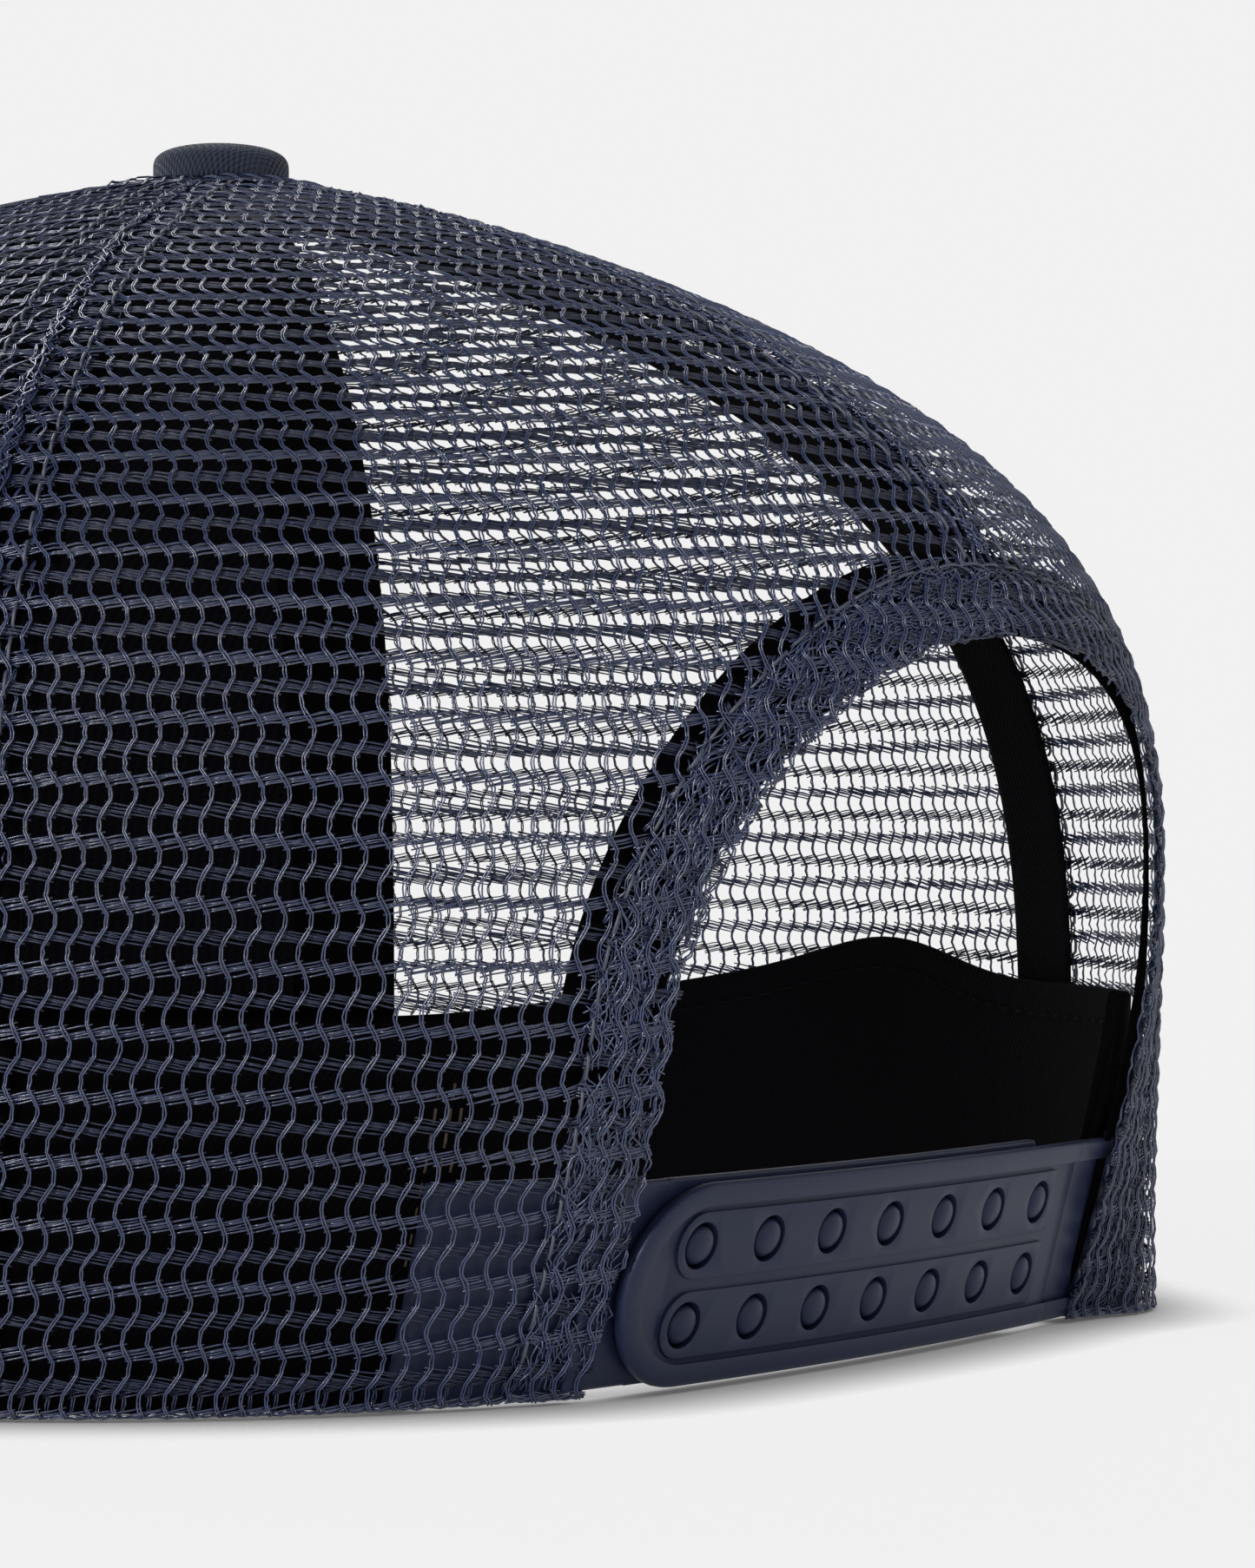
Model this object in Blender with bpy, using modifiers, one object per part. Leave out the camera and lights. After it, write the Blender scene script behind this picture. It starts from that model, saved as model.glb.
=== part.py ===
"""Trucker mesh cap: solid front, net sides and rear, snap closure under an arched rear opening.

Metres, +Z up. The visor points to -Y, the wearer's left is +X, and the rim stands on z = 0.
Dimensions are in millimetres until a mesh is made. They are measured from the button's axis,
and an empty then moves the whole cap so that the middle of its base lies at the origin.
"""

import math

import bmesh
import bpy
import numpy as np

MM = 0.001
BUTTON_TO_MIDDLE = 37.9  # the button's axis lies this far behind the middle of the base

# Crown. The button stands over x = y = 0.
HALF_WIDTH = 90.0
FRONT_REACH = 102.0
REAR_REACH = 106.0
CROWN_HEIGHT = 115.0
WALL_POWER = 4.28  # how long the wall stays upright before the dome begins
DOME_POWER = 1.2  # how flat the dome is round the button
FRONT_FULLNESS = 0.31  # the stiffened front holds a fuller dome than the net does
PLAN_POWER_FRONT = 2.1
PLAN_POWER_REAR = 1.9
REAR_PULL = 21.0  # how far the closed strap draws the rear rim inward
PULL_HEIGHT = 89.0  # the pull has faded out at this height
RELIEF = 0.70  # on the wearer's right the rim springs back out past the strap's end
RELIEF_HEIGHT = 70.0
RELIEF_START = math.radians(24)
RELIEF_SPAN = math.radians(16)

# Cloth layers. Depths are measured inward from the crown's outer face.
NET_THICKNESS = 1.0
TWILL_THICKNESS = 0.8
STIFFENER_DEPTH = 1.25
STIFFENER_THICKNESS = 0.5
TAPE_DEPTH = 1.6
TAPE_THICKNESS = 0.5
FRONT_TAPE_DEPTH = 2.4
BAND_DEPTH = 3.2
BAND_THICKNESS = 1.2
SEAM_GAP = 0.3

# Seams, as angles from the rear, positive toward the wearer's left.
SIDE_SEAM_LEFT = math.radians(65)
SIDE_SEAM_RIGHT = math.radians(58)
FRONT_SEAM = math.radians(120)
CENTRE_FRONT = math.radians(180)
TAPE_HALF_WIDTH = 6.0
TAPE_TOP_RADIUS = 14.0
BUTTON_HOLE_RADIUS = 2.2
STIFFENER_MARGIN = 8.0

# Sweatband.
BAND_HEIGHT = 32.0
BAND_END_LEFT = math.radians(36)
BAND_END_RIGHT = math.radians(28)

# Rear opening.
ARCH_HALF_WIDTH = 38.0
ARCH_SPRING = 32.0
ARCH_TOP = 65.5
BINDING_INSET = 0.8
BINDING_WIDTH = 8.0
BINDING_FOOT = 24.0

# Visor.
VISOR_HALF_WIDTH = 84.0
VISOR_REACH = 172.0
VISOR_ARCH = 9.0
VISOR_LIFT = 2.5
VISOR_ROOT_GAP = 0.5
VISOR_SEAM = math.radians(121)
BOARD_THICKNESS = 1.8
BOARD_INSET = 1.3
COVER_THICKNESS = 0.6
COVER_GAP = 0.3

# Button.
BUTTON_RADIUS = 6.9
BUTTON_BASE = CROWN_HEIGHT + 0.2
BUTTON_HEIGHT = 2.6
BUTTON_SKIN = 0.6
SHANK_RADIUS = 1.2
WASHER_RADIUS = 6.0

# Closure. s runs along the strap from its middle toward +X, n outward, h upward.
CLOSURE_RADIUS = 298.0
CLOSURE_LEAN = 0.275
CLOSURE_Z = 9.3
STRAP_HALF_HEIGHT = 8.9
PEG_PITCH = 9.1
PEG_ROW = 3.45
PEG_COUNT = 7
PEG_RADIUS = 1.65
HOLE_RADIUS = 2.1
PATTERN_CENTRE = 1.5
HINGE_S = 35.0
BEND_HALF_WIDTH = 2.0
STRAP_GAP = 0.3
PEG_PLATE = (0.0, 1.3)
PEG_HEAD_REACH = 2.95
HOLE_PLATE = (1.6, 3.2)
HOLE_STRAP_TIP = 37.2
PEG_STRAP_TIP = -28.0
TAB_DEPTH = 1.6
TAB_THICKNESS = 1.3
TAB_EDGE = 39.6
TAB_END = math.radians(38)

SEAM_COLUMNS = 20
CROWN_ROWS = 16

NAVY = (0.030, 0.040, 0.075)
NAVY_PLASTIC = (0.032, 0.042, 0.075)
BLACK_CLOTH = (0.012, 0.013, 0.018)
BOARD_WHITE = (0.75, 0.75, 0.72)
STEEL = (0.55, 0.56, 0.58)


def crown_outline():
    """Heights, widths as a share of the rim's, and distance up the side, from the rim to the button."""
    steps = np.linspace(0.0, 1.0, 801)
    rise = 1.0 - (1.0 - steps) ** 3
    share = (1.0 - rise**WALL_POWER) ** (1.0 / DOME_POWER)
    heights = CROWN_HEIGHT * rise
    lengths = np.hypot(np.diff(share * HALF_WIDTH), np.diff(heights))
    travel = np.concatenate([[0.0], np.cumsum(lengths)])
    return heights, share, travel / travel[-1]


HEIGHTS, SHARES, TRAVEL = crown_outline()


def travel_at_height(height):
    return float(np.interp(height, HEIGHTS, TRAVEL))


def travel_at_radius(radius):
    return float(np.interp(-radius / HALF_WIDTH, -SHARES, TRAVEL))


def smooth_step(share):
    share = min(max(share, 0.0), 1.0)
    return share * share * (3.0 - 2.0 * share)


def rear_pull(angle, height):
    """How far the closed strap draws the rear wall inward at this angle and height."""
    fade = max(1.0 - height / PULL_HEIGHT, 0.0) ** 2
    right = math.remainder(-angle, 2 * math.pi)
    relief = RELIEF * max(1.0 - height / RELIEF_HEIGHT, 0.0)
    relief *= smooth_step((right - RELIEF_START) / RELIEF_SPAN)
    return REAR_PULL * fade * math.cos(angle) ** 2 * (1.0 - relief)


def crown_point(angle, travel):
    """A point of the crown's outer face. travel is 0 at the rim and 1 at the button."""
    height = float(np.interp(travel, TRAVEL, HEIGHTS))
    sine, cosine = math.sin(angle), math.cos(angle)
    rear = cosine > 0
    dome = DOME_POWER + FRONT_FULLNESS * max(-cosine, 0.0)
    share = float(np.interp(travel, TRAVEL, SHARES)) ** (DOME_POWER / dome)
    power = PLAN_POWER_REAR if rear else PLAN_POWER_FRONT
    reach = REAR_REACH if rear else FRONT_REACH
    scale = share * (abs(sine) ** power + abs(cosine) ** power) ** (-1.0 / power)
    pull = rear_pull(angle, height) if rear else 0.0
    return np.array([HALF_WIDTH * scale * sine, reach * scale * cosine - pull, height])


def crown_normal(angle, travel):
    step = 1e-3
    along = crown_point(angle + step, travel) - crown_point(angle - step, travel)
    low, high = max(travel - step, 0.0), min(travel + step, 1.0)
    up = crown_point(angle, high) - crown_point(angle, low)
    normal = np.cross(up, along)
    return normal / np.linalg.norm(normal)


def crown_layer(angle, travel, depth):
    return crown_point(angle, travel) - crown_normal(angle, travel) * depth


def angle_at(x, height):
    """The angle of the rear wall where it stands at this x."""
    travel = travel_at_height(height)
    angles = np.linspace(0.0, math.radians(85), 120)
    reached = [crown_point(angle, travel)[0] for angle in angles]
    return math.copysign(float(np.interp(abs(x), reached, angles)), x)


def beside(angle, travel, distance):
    """The angle that lies this far to the +X-ward side of a seam."""
    point = crown_point(angle, travel)
    return angle + distance / math.hypot(point[0], point[1])


def visor_arch(x):
    return VISOR_ARCH * (1.0 - (x / HALF_WIDTH) ** 2)


def front_rim_travel(angle):
    """The front panels' lower edge rises over the arched visor."""
    beyond = (abs(angle) - FRONT_SEAM) / math.radians(16)
    return travel_at_height(smooth_step(beyond) * visor_arch(crown_point(angle, 0.0)[0]))


def material_for(obj, colour, roughness, metallic=0.0):
    material = bpy.data.materials.new(obj.name)
    material.use_nodes = True
    shader = material.node_tree.nodes["Principled BSDF"]
    shader.inputs["Base Color"].default_value = (*colour, 1.0)
    shader.inputs["Roughness"].default_value = roughness
    shader.inputs["Metallic"].default_value = metallic
    obj.data.materials.clear()
    obj.data.materials.append(material)


def new_collection(name):
    collection = bpy.data.collections.new(name)
    bpy.context.scene.collection.children.link(collection)
    return collection


def mesh_object(name, points, faces, collection):
    mesh = bpy.data.meshes.new(name)
    mesh.from_pydata([tuple(np.array(point) * MM) for point in points], [], faces)
    mesh.update()
    obj = bpy.data.objects.new(name, mesh)
    collection.objects.link(obj)
    return obj


def cloth(name, rows, thickness, parts):
    """A sheet through a grid of points (rows upward, columns toward +X seen from outside), thickened inward."""
    height, width = len(rows), len(rows[0])
    points = [point for row in rows for point in row]
    faces = []
    for i in range(height - 1):
        for j in range(width - 1):
            corner = i * width + j
            faces.append((corner, corner + width, corner + width + 1, corner + 1))
    obj = mesh_object(name, points, faces, parts)
    solidify = obj.modifiers.new("thickness", "SOLIDIFY")
    solidify.thickness = thickness * MM
    solidify.offset = -1.0
    solidify.use_even_offset = False
    for polygon in obj.data.polygons:
        polygon.use_smooth = True
    return obj


def travels_between(low, high):
    """The crown's shared row heights inside these ends, with the ends themselves."""
    inner = [k / CROWN_ROWS for k in range(1, CROWN_ROWS + 3)]
    margin = 0.25 / CROWN_ROWS
    return [low] + [t for t in inner if low + margin < t < high - margin] + [high]


def panel(name, left, right, thickness, parts, rim=None):
    """A crown panel from one seam to the next, left and right as seen from outside."""
    top = travel_at_radius(BUTTON_HOLE_RADIUS)
    rows = []
    for travel in travels_between(0.0, top):
        row = []
        for column in range(SEAM_COLUMNS + 1):
            share = column / SEAM_COLUMNS
            foot = rim(left + (right - left) * share) if rim else 0.0
            height = foot + travel * (1.0 - foot / top)
            first = beside(left, height, SEAM_GAP / 2)
            last = beside(right, height, -SEAM_GAP / 2)
            row.append(crown_layer(first + (last - first) * share, height, 0.0))
        rows.append(row)
    return cloth(name, rows, thickness, parts)


def seam_tape(name, seam, depth, low, parts):
    rows = []
    for travel in travels_between(low, travel_at_radius(TAPE_TOP_RADIUS)):
        sides = (-TAPE_HALF_WIDTH, 0.0, TAPE_HALF_WIDTH)
        rows.append([crown_layer(beside(seam, travel, side), travel, depth) for side in sides])
    return cloth(name, rows, TAPE_THICKNESS, parts)


def stiffener(parts):
    low, high = travel_at_height(2.0), travel_at_radius(TAPE_TOP_RADIUS + 4.0)
    rows = []
    for travel in travels_between(low, high):
        row = []
        for column in range(15):
            share = column / 14
            angle = FRONT_SEAM + (2 * math.pi - 2 * FRONT_SEAM) * share
            foot = front_rim_travel(angle if angle < math.pi else 2 * math.pi - angle)
            height = foot + travel * (1.0 - foot / high)
            first = beside(FRONT_SEAM, height, STIFFENER_MARGIN)
            last = beside(2 * math.pi - FRONT_SEAM, height, -STIFFENER_MARGIN)
            row.append(crown_layer(first + (last - first) * share, height, STIFFENER_DEPTH))
        rows.append(row)
    return cloth("front_stiffener", rows, STIFFENER_THICKNESS, parts)


def sweatband(parts):
    top = travel_at_height(BAND_HEIGHT)
    lowest = travel_at_height(0.8)
    columns = 72
    sweep = 2 * math.pi - BAND_END_LEFT - BAND_END_RIGHT
    rows = []
    for step in range(5):
        row = []
        for column in range(columns + 1):
            angle = BAND_END_LEFT + sweep * column / columns
            nearest = angle if angle < math.pi else 2 * math.pi - angle
            foot = lowest + front_rim_travel(nearest)
            row.append(crown_layer(angle, foot + (top - foot) * step / 4, BAND_DEPTH))
        rows.append(row)
    return cloth("sweatband", rows, BAND_THICKNESS, parts)


def arch_edge(grow, steps):
    """Points (x, height) round the rear opening from the wearer's left foot to the right one."""
    half, rise = ARCH_HALF_WIDTH + grow, ARCH_TOP + grow - ARCH_SPRING
    turns = [math.pi * k / steps for k in range(steps + 1)]
    return [(half * math.cos(turn), ARCH_SPRING + rise * math.sin(turn)) for turn in turns]


def arch_cutter(cutters):
    curve = bpy.data.curves.new("arch_cutter", "CURVE")
    curve.dimensions = "2D"
    curve.fill_mode = "BOTH"
    curve.extrude = 40 * MM
    outline = [(ARCH_HALF_WIDTH, -5.0)] + arch_edge(0.0, 28) + [(-ARCH_HALF_WIDTH, -5.0)]
    spline = curve.splines.new("POLY")
    spline.points.add(len(outline) - 1)
    for point, (x, z) in zip(spline.points, outline):
        point.co = (x * MM, z * MM, 0.0, 1.0)
    spline.use_cyclic_u = True
    guide = bpy.data.objects.new("arch_guide", curve)
    guide.location = (0.0, 90 * MM, 0.0)
    guide.rotation_euler = (math.pi / 2, 0.0, 0.0)
    cutters.objects.link(guide)
    return curve_to_mesh(guide, "arch_cutter", cutters)


def curve_to_mesh(guide, name, collection):
    bpy.context.view_layer.update()
    mesh = bpy.data.meshes.new_from_object(guide.evaluated_get(bpy.context.evaluated_depsgraph_get()))
    shape = bmesh.new()
    shape.from_mesh(mesh)
    bmesh.ops.remove_doubles(shape, verts=shape.verts, dist=1e-6)
    bmesh.ops.recalc_face_normals(shape, faces=shape.faces)
    shape.to_mesh(mesh)
    shape.free()
    obj = bpy.data.objects.new(name, mesh)
    obj.matrix_world = guide.matrix_world.copy()
    obj.hide_render = True
    obj.display_type = "WIRE"
    collection.objects.link(obj)
    bpy.data.objects.remove(guide)
    return obj


def boolean(obj, other, operation="DIFFERENCE"):
    modifier = obj.modifiers.new(operation.lower(), "BOOLEAN")
    modifier.operation = operation
    modifier.solver = "EXACT"
    modifier.object = other


def arch_binding(parts):
    feet = BINDING_FOOT
    lines = []
    for grow in (BINDING_INSET, BINDING_INSET + BINDING_WIDTH / 2, BINDING_INSET + BINDING_WIDTH):
        half = ARCH_HALF_WIDTH + grow
        edge = [(half, feet)] + arch_edge(grow, 24) + [(-half, feet)]
        lines.append([crown_layer(angle_at(x, z), travel_at_height(z), TAPE_DEPTH) for x, z in edge])
    return cloth("arch_binding", lines[::-1], TAPE_THICKNESS, parts)


def visor_grid(inset, steps_across, lift):
    """Rows from the crown to the visor's outer edge, columns from the wearer's right to left."""
    columns = 20
    rows = []
    for step in range(steps_across + 1):
        row = []
        for column in range(columns + 1):
            turn = math.pi * column / columns
            angle = 2 * math.pi - VISOR_SEAM - (2 * math.pi - 2 * VISOR_SEAM) * column / columns
            root = crown_layer(angle, 0.0, -VISOR_ROOT_GAP)
            corner = crown_layer(VISOR_SEAM, 0.0, 0.0)[1]
            x = -(VISOR_HALF_WIDTH - inset) * math.cos(turn)
            y = corner - (VISOR_REACH - inset + corner) * math.sin(turn) ** 0.85
            share = step / steps_across
            x, y = root[0] + (x - root[0]) * share, root[1] + (y - root[1]) * share
            row.append(np.array([x, y, VISOR_LIFT + visor_arch(x) + lift]))
        rows.append(row)
    return rows


def visor(parts):
    half = BOARD_THICKNESS / 2
    board = cloth("visor_board", visor_grid(BOARD_INSET, 5, half), BOARD_THICKNESS, parts)
    bottom_lift = -half - COVER_GAP
    bottom = cloth("visor_cover_bottom", visor_grid(0.6, 5, bottom_lift), COVER_THICKNESS, parts)
    top_rows = visor_grid(0.0, 5, half + COVER_GAP + COVER_THICKNESS)
    lip = [point + np.array([0.0, 0.0, -(2 * COVER_THICKNESS + COVER_GAP)]) for point in top_rows[-1]]
    top = cloth("visor_cover_top", top_rows + [lip], COVER_THICKNESS, parts)
    return board, bottom, top


def turned(name, profile, parts, steps=28):
    """A profile (radius, height) at +X, top to bottom on its outer side, spun about the button's axis."""
    points = [(radius, 0.0, height) for radius, height in profile]
    mesh = bpy.data.meshes.new(name)
    edges = [(k, k + 1) for k in range(len(points) - 1)]
    if profile[0][0] > 0:
        edges.append((len(points) - 1, 0))
    mesh.from_pydata([tuple(np.array(point) * MM) for point in points], edges, [])
    obj = bpy.data.objects.new(name, mesh)
    parts.objects.link(obj)
    screw = obj.modifiers.new("turn", "SCREW")
    screw.steps = steps
    screw.render_steps = steps
    screw.use_merge_vertices = True
    screw.merge_threshold = 1e-6
    screw.use_smooth_shade = True
    return obj


def dome(radius, base, height, steps=6):
    """Outer side of a low dome with a rounded edge, from the axis down to its base."""
    points = [(0.0, base + height)]
    for k in range(1, steps + 1):
        turn = math.pi / 2 * k / steps
        points.append((radius * math.sin(turn) ** 0.8, base + height * math.cos(turn) ** 0.6))
    return points


def button(parts):
    skin = BUTTON_SKIN + 0.3
    outer = dome(BUTTON_RADIUS, BUTTON_BASE, BUTTON_HEIGHT)
    inner = dome(BUTTON_RADIUS - BUTTON_SKIN, BUTTON_BASE, BUTTON_HEIGHT - BUTTON_SKIN)
    cover = turned("button_cover", outer + inner[::-1], parts)
    shell_dome = dome(BUTTON_RADIUS - skin, BUTTON_BASE + 0.1, BUTTON_HEIGHT - skin - 0.1)
    shank_foot = CROWN_HEIGHT - 4.2
    shank = [(SHANK_RADIUS, BUTTON_BASE + 0.1), (SHANK_RADIUS, shank_foot), (0.0, shank_foot)]
    shell = turned("button_shell", shell_dome + shank, parts, steps=24)
    washer_top = CROWN_HEIGHT - 2.9
    hole = SHANK_RADIUS + 0.3
    ring = [(hole, washer_top), (WASHER_RADIUS, washer_top - 0.4), (WASHER_RADIUS, washer_top - 1.1)]
    washer = turned("button_washer", ring + [(hole, washer_top - 0.8)], parts, steps=20)
    return cover, shell, washer


def closure_reach():
    """y of the strap stack's inner face at the strap's middle: its ends tuck under the rear panels."""
    height = travel_at_height(CLOSURE_Z)
    edge = crown_point(angle_at(ARCH_HALF_WIDTH, CLOSURE_Z), height)[1]
    tucked = edge - TAB_DEPTH - (PEG_PLATE[1] + HOLE_PLATE[1]) / 2
    return tucked + ARCH_HALF_WIDTH**2 / (2 * CLOSURE_RADIUS)


CLOSURE_Y = closure_reach()
CLOSURE_SKEW = (HOLE_PLATE[1] - PEG_PLATE[1]) / (2 * ARCH_HALF_WIDTH)


def on_closure(s, n, h):
    turn = s / CLOSURE_RADIUS
    reach = CLOSURE_RADIUS + n
    x = reach * math.sin(turn)
    y = CLOSURE_Y + reach * math.cos(turn) - CLOSURE_RADIUS + CLOSURE_LEAN * h + CLOSURE_SKEW * x
    return np.array([x, y, CLOSURE_Z + h])


def slab(name, outline, low, high, collection):
    """A flat outline (s, h) given thickness from n = low to n = high, in strap coordinates."""
    count = len(outline)
    points = [(s, n, h) for n in (low, high) for s, h in outline]
    faces = [tuple(range(count))[::-1], tuple(range(count, 2 * count))]
    for k in range(count):
        after = (k + 1) % count
        faces.append((k, after, count + after, count + k))
    obj = mesh_object(name, points, faces, collection)
    shape = bmesh.new()
    shape.from_mesh(obj.data)
    bmesh.ops.recalc_face_normals(shape, faces=shape.faces)
    shape.to_mesh(obj.data)
    shape.free()
    return obj


def rounded_strip(start, end, half_height, centre=0.0, steps=12, corner=None):
    """An outline square at its start and round at its end, which lies toward +s."""
    corner = corner or half_height
    flat = half_height - corner
    points = [(start, centre - half_height)]
    for k in range(steps + 1):
        turn = -math.pi / 2 + math.pi * k / steps
        side = flat if turn > 0 else -flat
        middle = 0.0 if k * 2 == steps else side
        points.append((end - corner + corner * math.cos(turn), centre + middle + corner * math.sin(turn)))
    points.append((start, centre + half_height))
    return points


def disc(s, h, radius, steps):
    turns = [2 * math.pi * k / steps for k in range(steps)]
    return [(s + radius * math.cos(turn), h + radius * math.sin(turn)) for turn in turns]


def peg_places():
    for row in (-PEG_ROW, PEG_ROW):
        for k in range(PEG_COUNT):
            yield PATTERN_CENTRE + (k - (PEG_COUNT - 1) / 2) * PEG_PITCH, row


def baked(obj):
    """Replaces the object's mesh with its evaluated one, so that it can be bent."""
    bpy.context.view_layer.update()
    evaluated = obj.evaluated_get(bpy.context.evaluated_depsgraph_get())
    mesh = bpy.data.meshes.new_from_object(evaluated)
    obj.modifiers.clear()
    obj.data = mesh


def bend_to_cap(obj, hinge, plate):
    """Cuts the flat strap into short facets, bends it along the closure and puts its origin on the hinge."""
    shape = bmesh.new()
    shape.from_mesh(obj.data)
    for k in range(-6, 7):
        everything = list(shape.verts) + list(shape.edges) + list(shape.faces)
        place = ((PATTERN_CENTRE + (k + 0.5) * PEG_PITCH) * MM, 0.0, 0.0)
        bmesh.ops.bisect_plane(shape, geom=everything, dist=1e-7, plane_co=place, plane_no=(1, 0, 0))
    origin = on_closure(hinge, (plate[0] + plate[1]) / 2, 0.0) * np.array([1.0, 1.0, 0.0])
    for vertex in shape.verts:
        flat = np.array(vertex.co) / MM
        vertex.co = (on_closure(*flat) - origin) * MM
    shape.to_mesh(obj.data)
    shape.free()
    obj.location = origin * MM


def peg(s, h, collection):
    """A post through its hole with a domed head."""
    points, faces = [], []
    levels = [(-0.4, 0.92), (0.75, 0.95), (0.9, 0.75), (1.0, 0.35)]
    steps = 12
    reach = PEG_HEAD_REACH - PEG_PLATE[1]
    for level, share in levels:
        n = PEG_PLATE[1] + reach * level
        points += [(a, n, b) for a, b in disc(s, h, PEG_RADIUS * share, steps)]
    for ring in range(len(levels) - 1):
        for k in range(steps):
            after = (k + 1) % steps
            low, high = ring * steps, (ring + 1) * steps
            faces.append((low + k, low + after, high + after, high + k))
    faces.append(tuple(range(steps))[::-1])
    faces.append(tuple(range((len(levels) - 1) * steps, len(levels) * steps)))
    obj = mesh_object("peg_tool", points, faces, collection)
    shape = bmesh.new()
    shape.from_mesh(obj.data)
    bmesh.ops.recalc_face_normals(shape, faces=shape.faces)
    shape.to_mesh(obj.data)
    shape.free()
    return obj


def peg_strap(parts, tools):
    root = HINGE_S - BEND_HALF_WIDTH
    outline = [(PEG_STRAP_TIP, 1.2 - STRAP_HALF_HEIGHT), (PEG_STRAP_TIP, STRAP_HALF_HEIGHT - 2.0)]
    outline += [(PEG_STRAP_TIP + 2.4, STRAP_HALF_HEIGHT + 0.5), (root, STRAP_HALF_HEIGHT + 0.5)]
    outline += [(root, 0.4 - STRAP_HALF_HEIGHT), (PEG_STRAP_TIP + 1.6, 0.4 - STRAP_HALF_HEIGHT)]
    blade = slab("peg_strap", outline, *PEG_PLATE, parts)
    for s, h in peg_places():
        boolean(blade, peg(s, h, tools), "UNION")
    baked(blade)
    bend_to_cap(blade, HINGE_S, PEG_PLATE)
    return blade


def hole_strap(parts, tools):
    root = -(HINGE_S - BEND_HALF_WIDTH)
    low, high = HOLE_PLATE
    blade = slab("hole_strap", rounded_strip(root, HOLE_STRAP_TIP, STRAP_HALF_HEIGHT), low, high, parts)
    floor = high - 0.6
    pocket = rounded_strip(root - 1.0, HOLE_STRAP_TIP - 2.0, STRAP_HALF_HEIGHT - 2.0)
    boolean(blade, slab("pocket_tool", pocket, floor, high + 1.0, tools))
    first = PATTERN_CENTRE + (PEG_COUNT - 1) / 2 * PEG_PITCH
    last = PATTERN_CENTRE - (PEG_COUNT - 1) / 2 * PEG_PITCH
    for row in (-PEG_ROW, PEG_ROW):
        lane = rounded_strip(last - 3.0, first + 2.9, 2.9, row)
        boolean(blade, slab("lane_tool", lane, floor - 0.3, floor + 0.35, tools), "UNION")
    for s, h in peg_places():
        boolean(blade, slab("hole_tool", disc(s, h, HOLE_RADIUS, 14), low - 1.0, high + 1.0, tools))
    baked(blade)
    bend_to_cap(blade, -HINGE_S, HOLE_PLATE)
    return blade


def bend_web(name, side, plate, low, high, parts):
    """The thin flexing web between a strap and its sewn tab."""
    inner = side * (HINGE_S - BEND_HALF_WIDTH + STRAP_GAP)
    outer = side * (HINGE_S + BEND_HALF_WIDTH + 0.4)
    middle = (plate[0] + plate[1]) / 2
    outline = [(inner, low), (outer, low), (outer, high), (inner, high)]
    web = slab(name, outline, middle - 0.45, middle + 0.45, parts)
    bend_to_cap(web, side * HINGE_S, plate)
    return web


def sewn_tab(name, side, low, high, parts):
    """The strap's end, flat against the inside of the rear panel."""
    rows = []
    for step in range(4):
        height = CLOSURE_Z + low + (high - low) * step / 3
        travel = travel_at_height(height)
        first = angle_at(TAB_EDGE, height)
        angles = [first + (TAB_END - first) * k / 6 for k in range(7)]
        row = [crown_layer(side * angle, travel, TAB_DEPTH) for angle in angles]
        rows.append(row if side > 0 else row[::-1])
    return cloth(name, rows, TAB_THICKNESS, parts)


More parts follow.
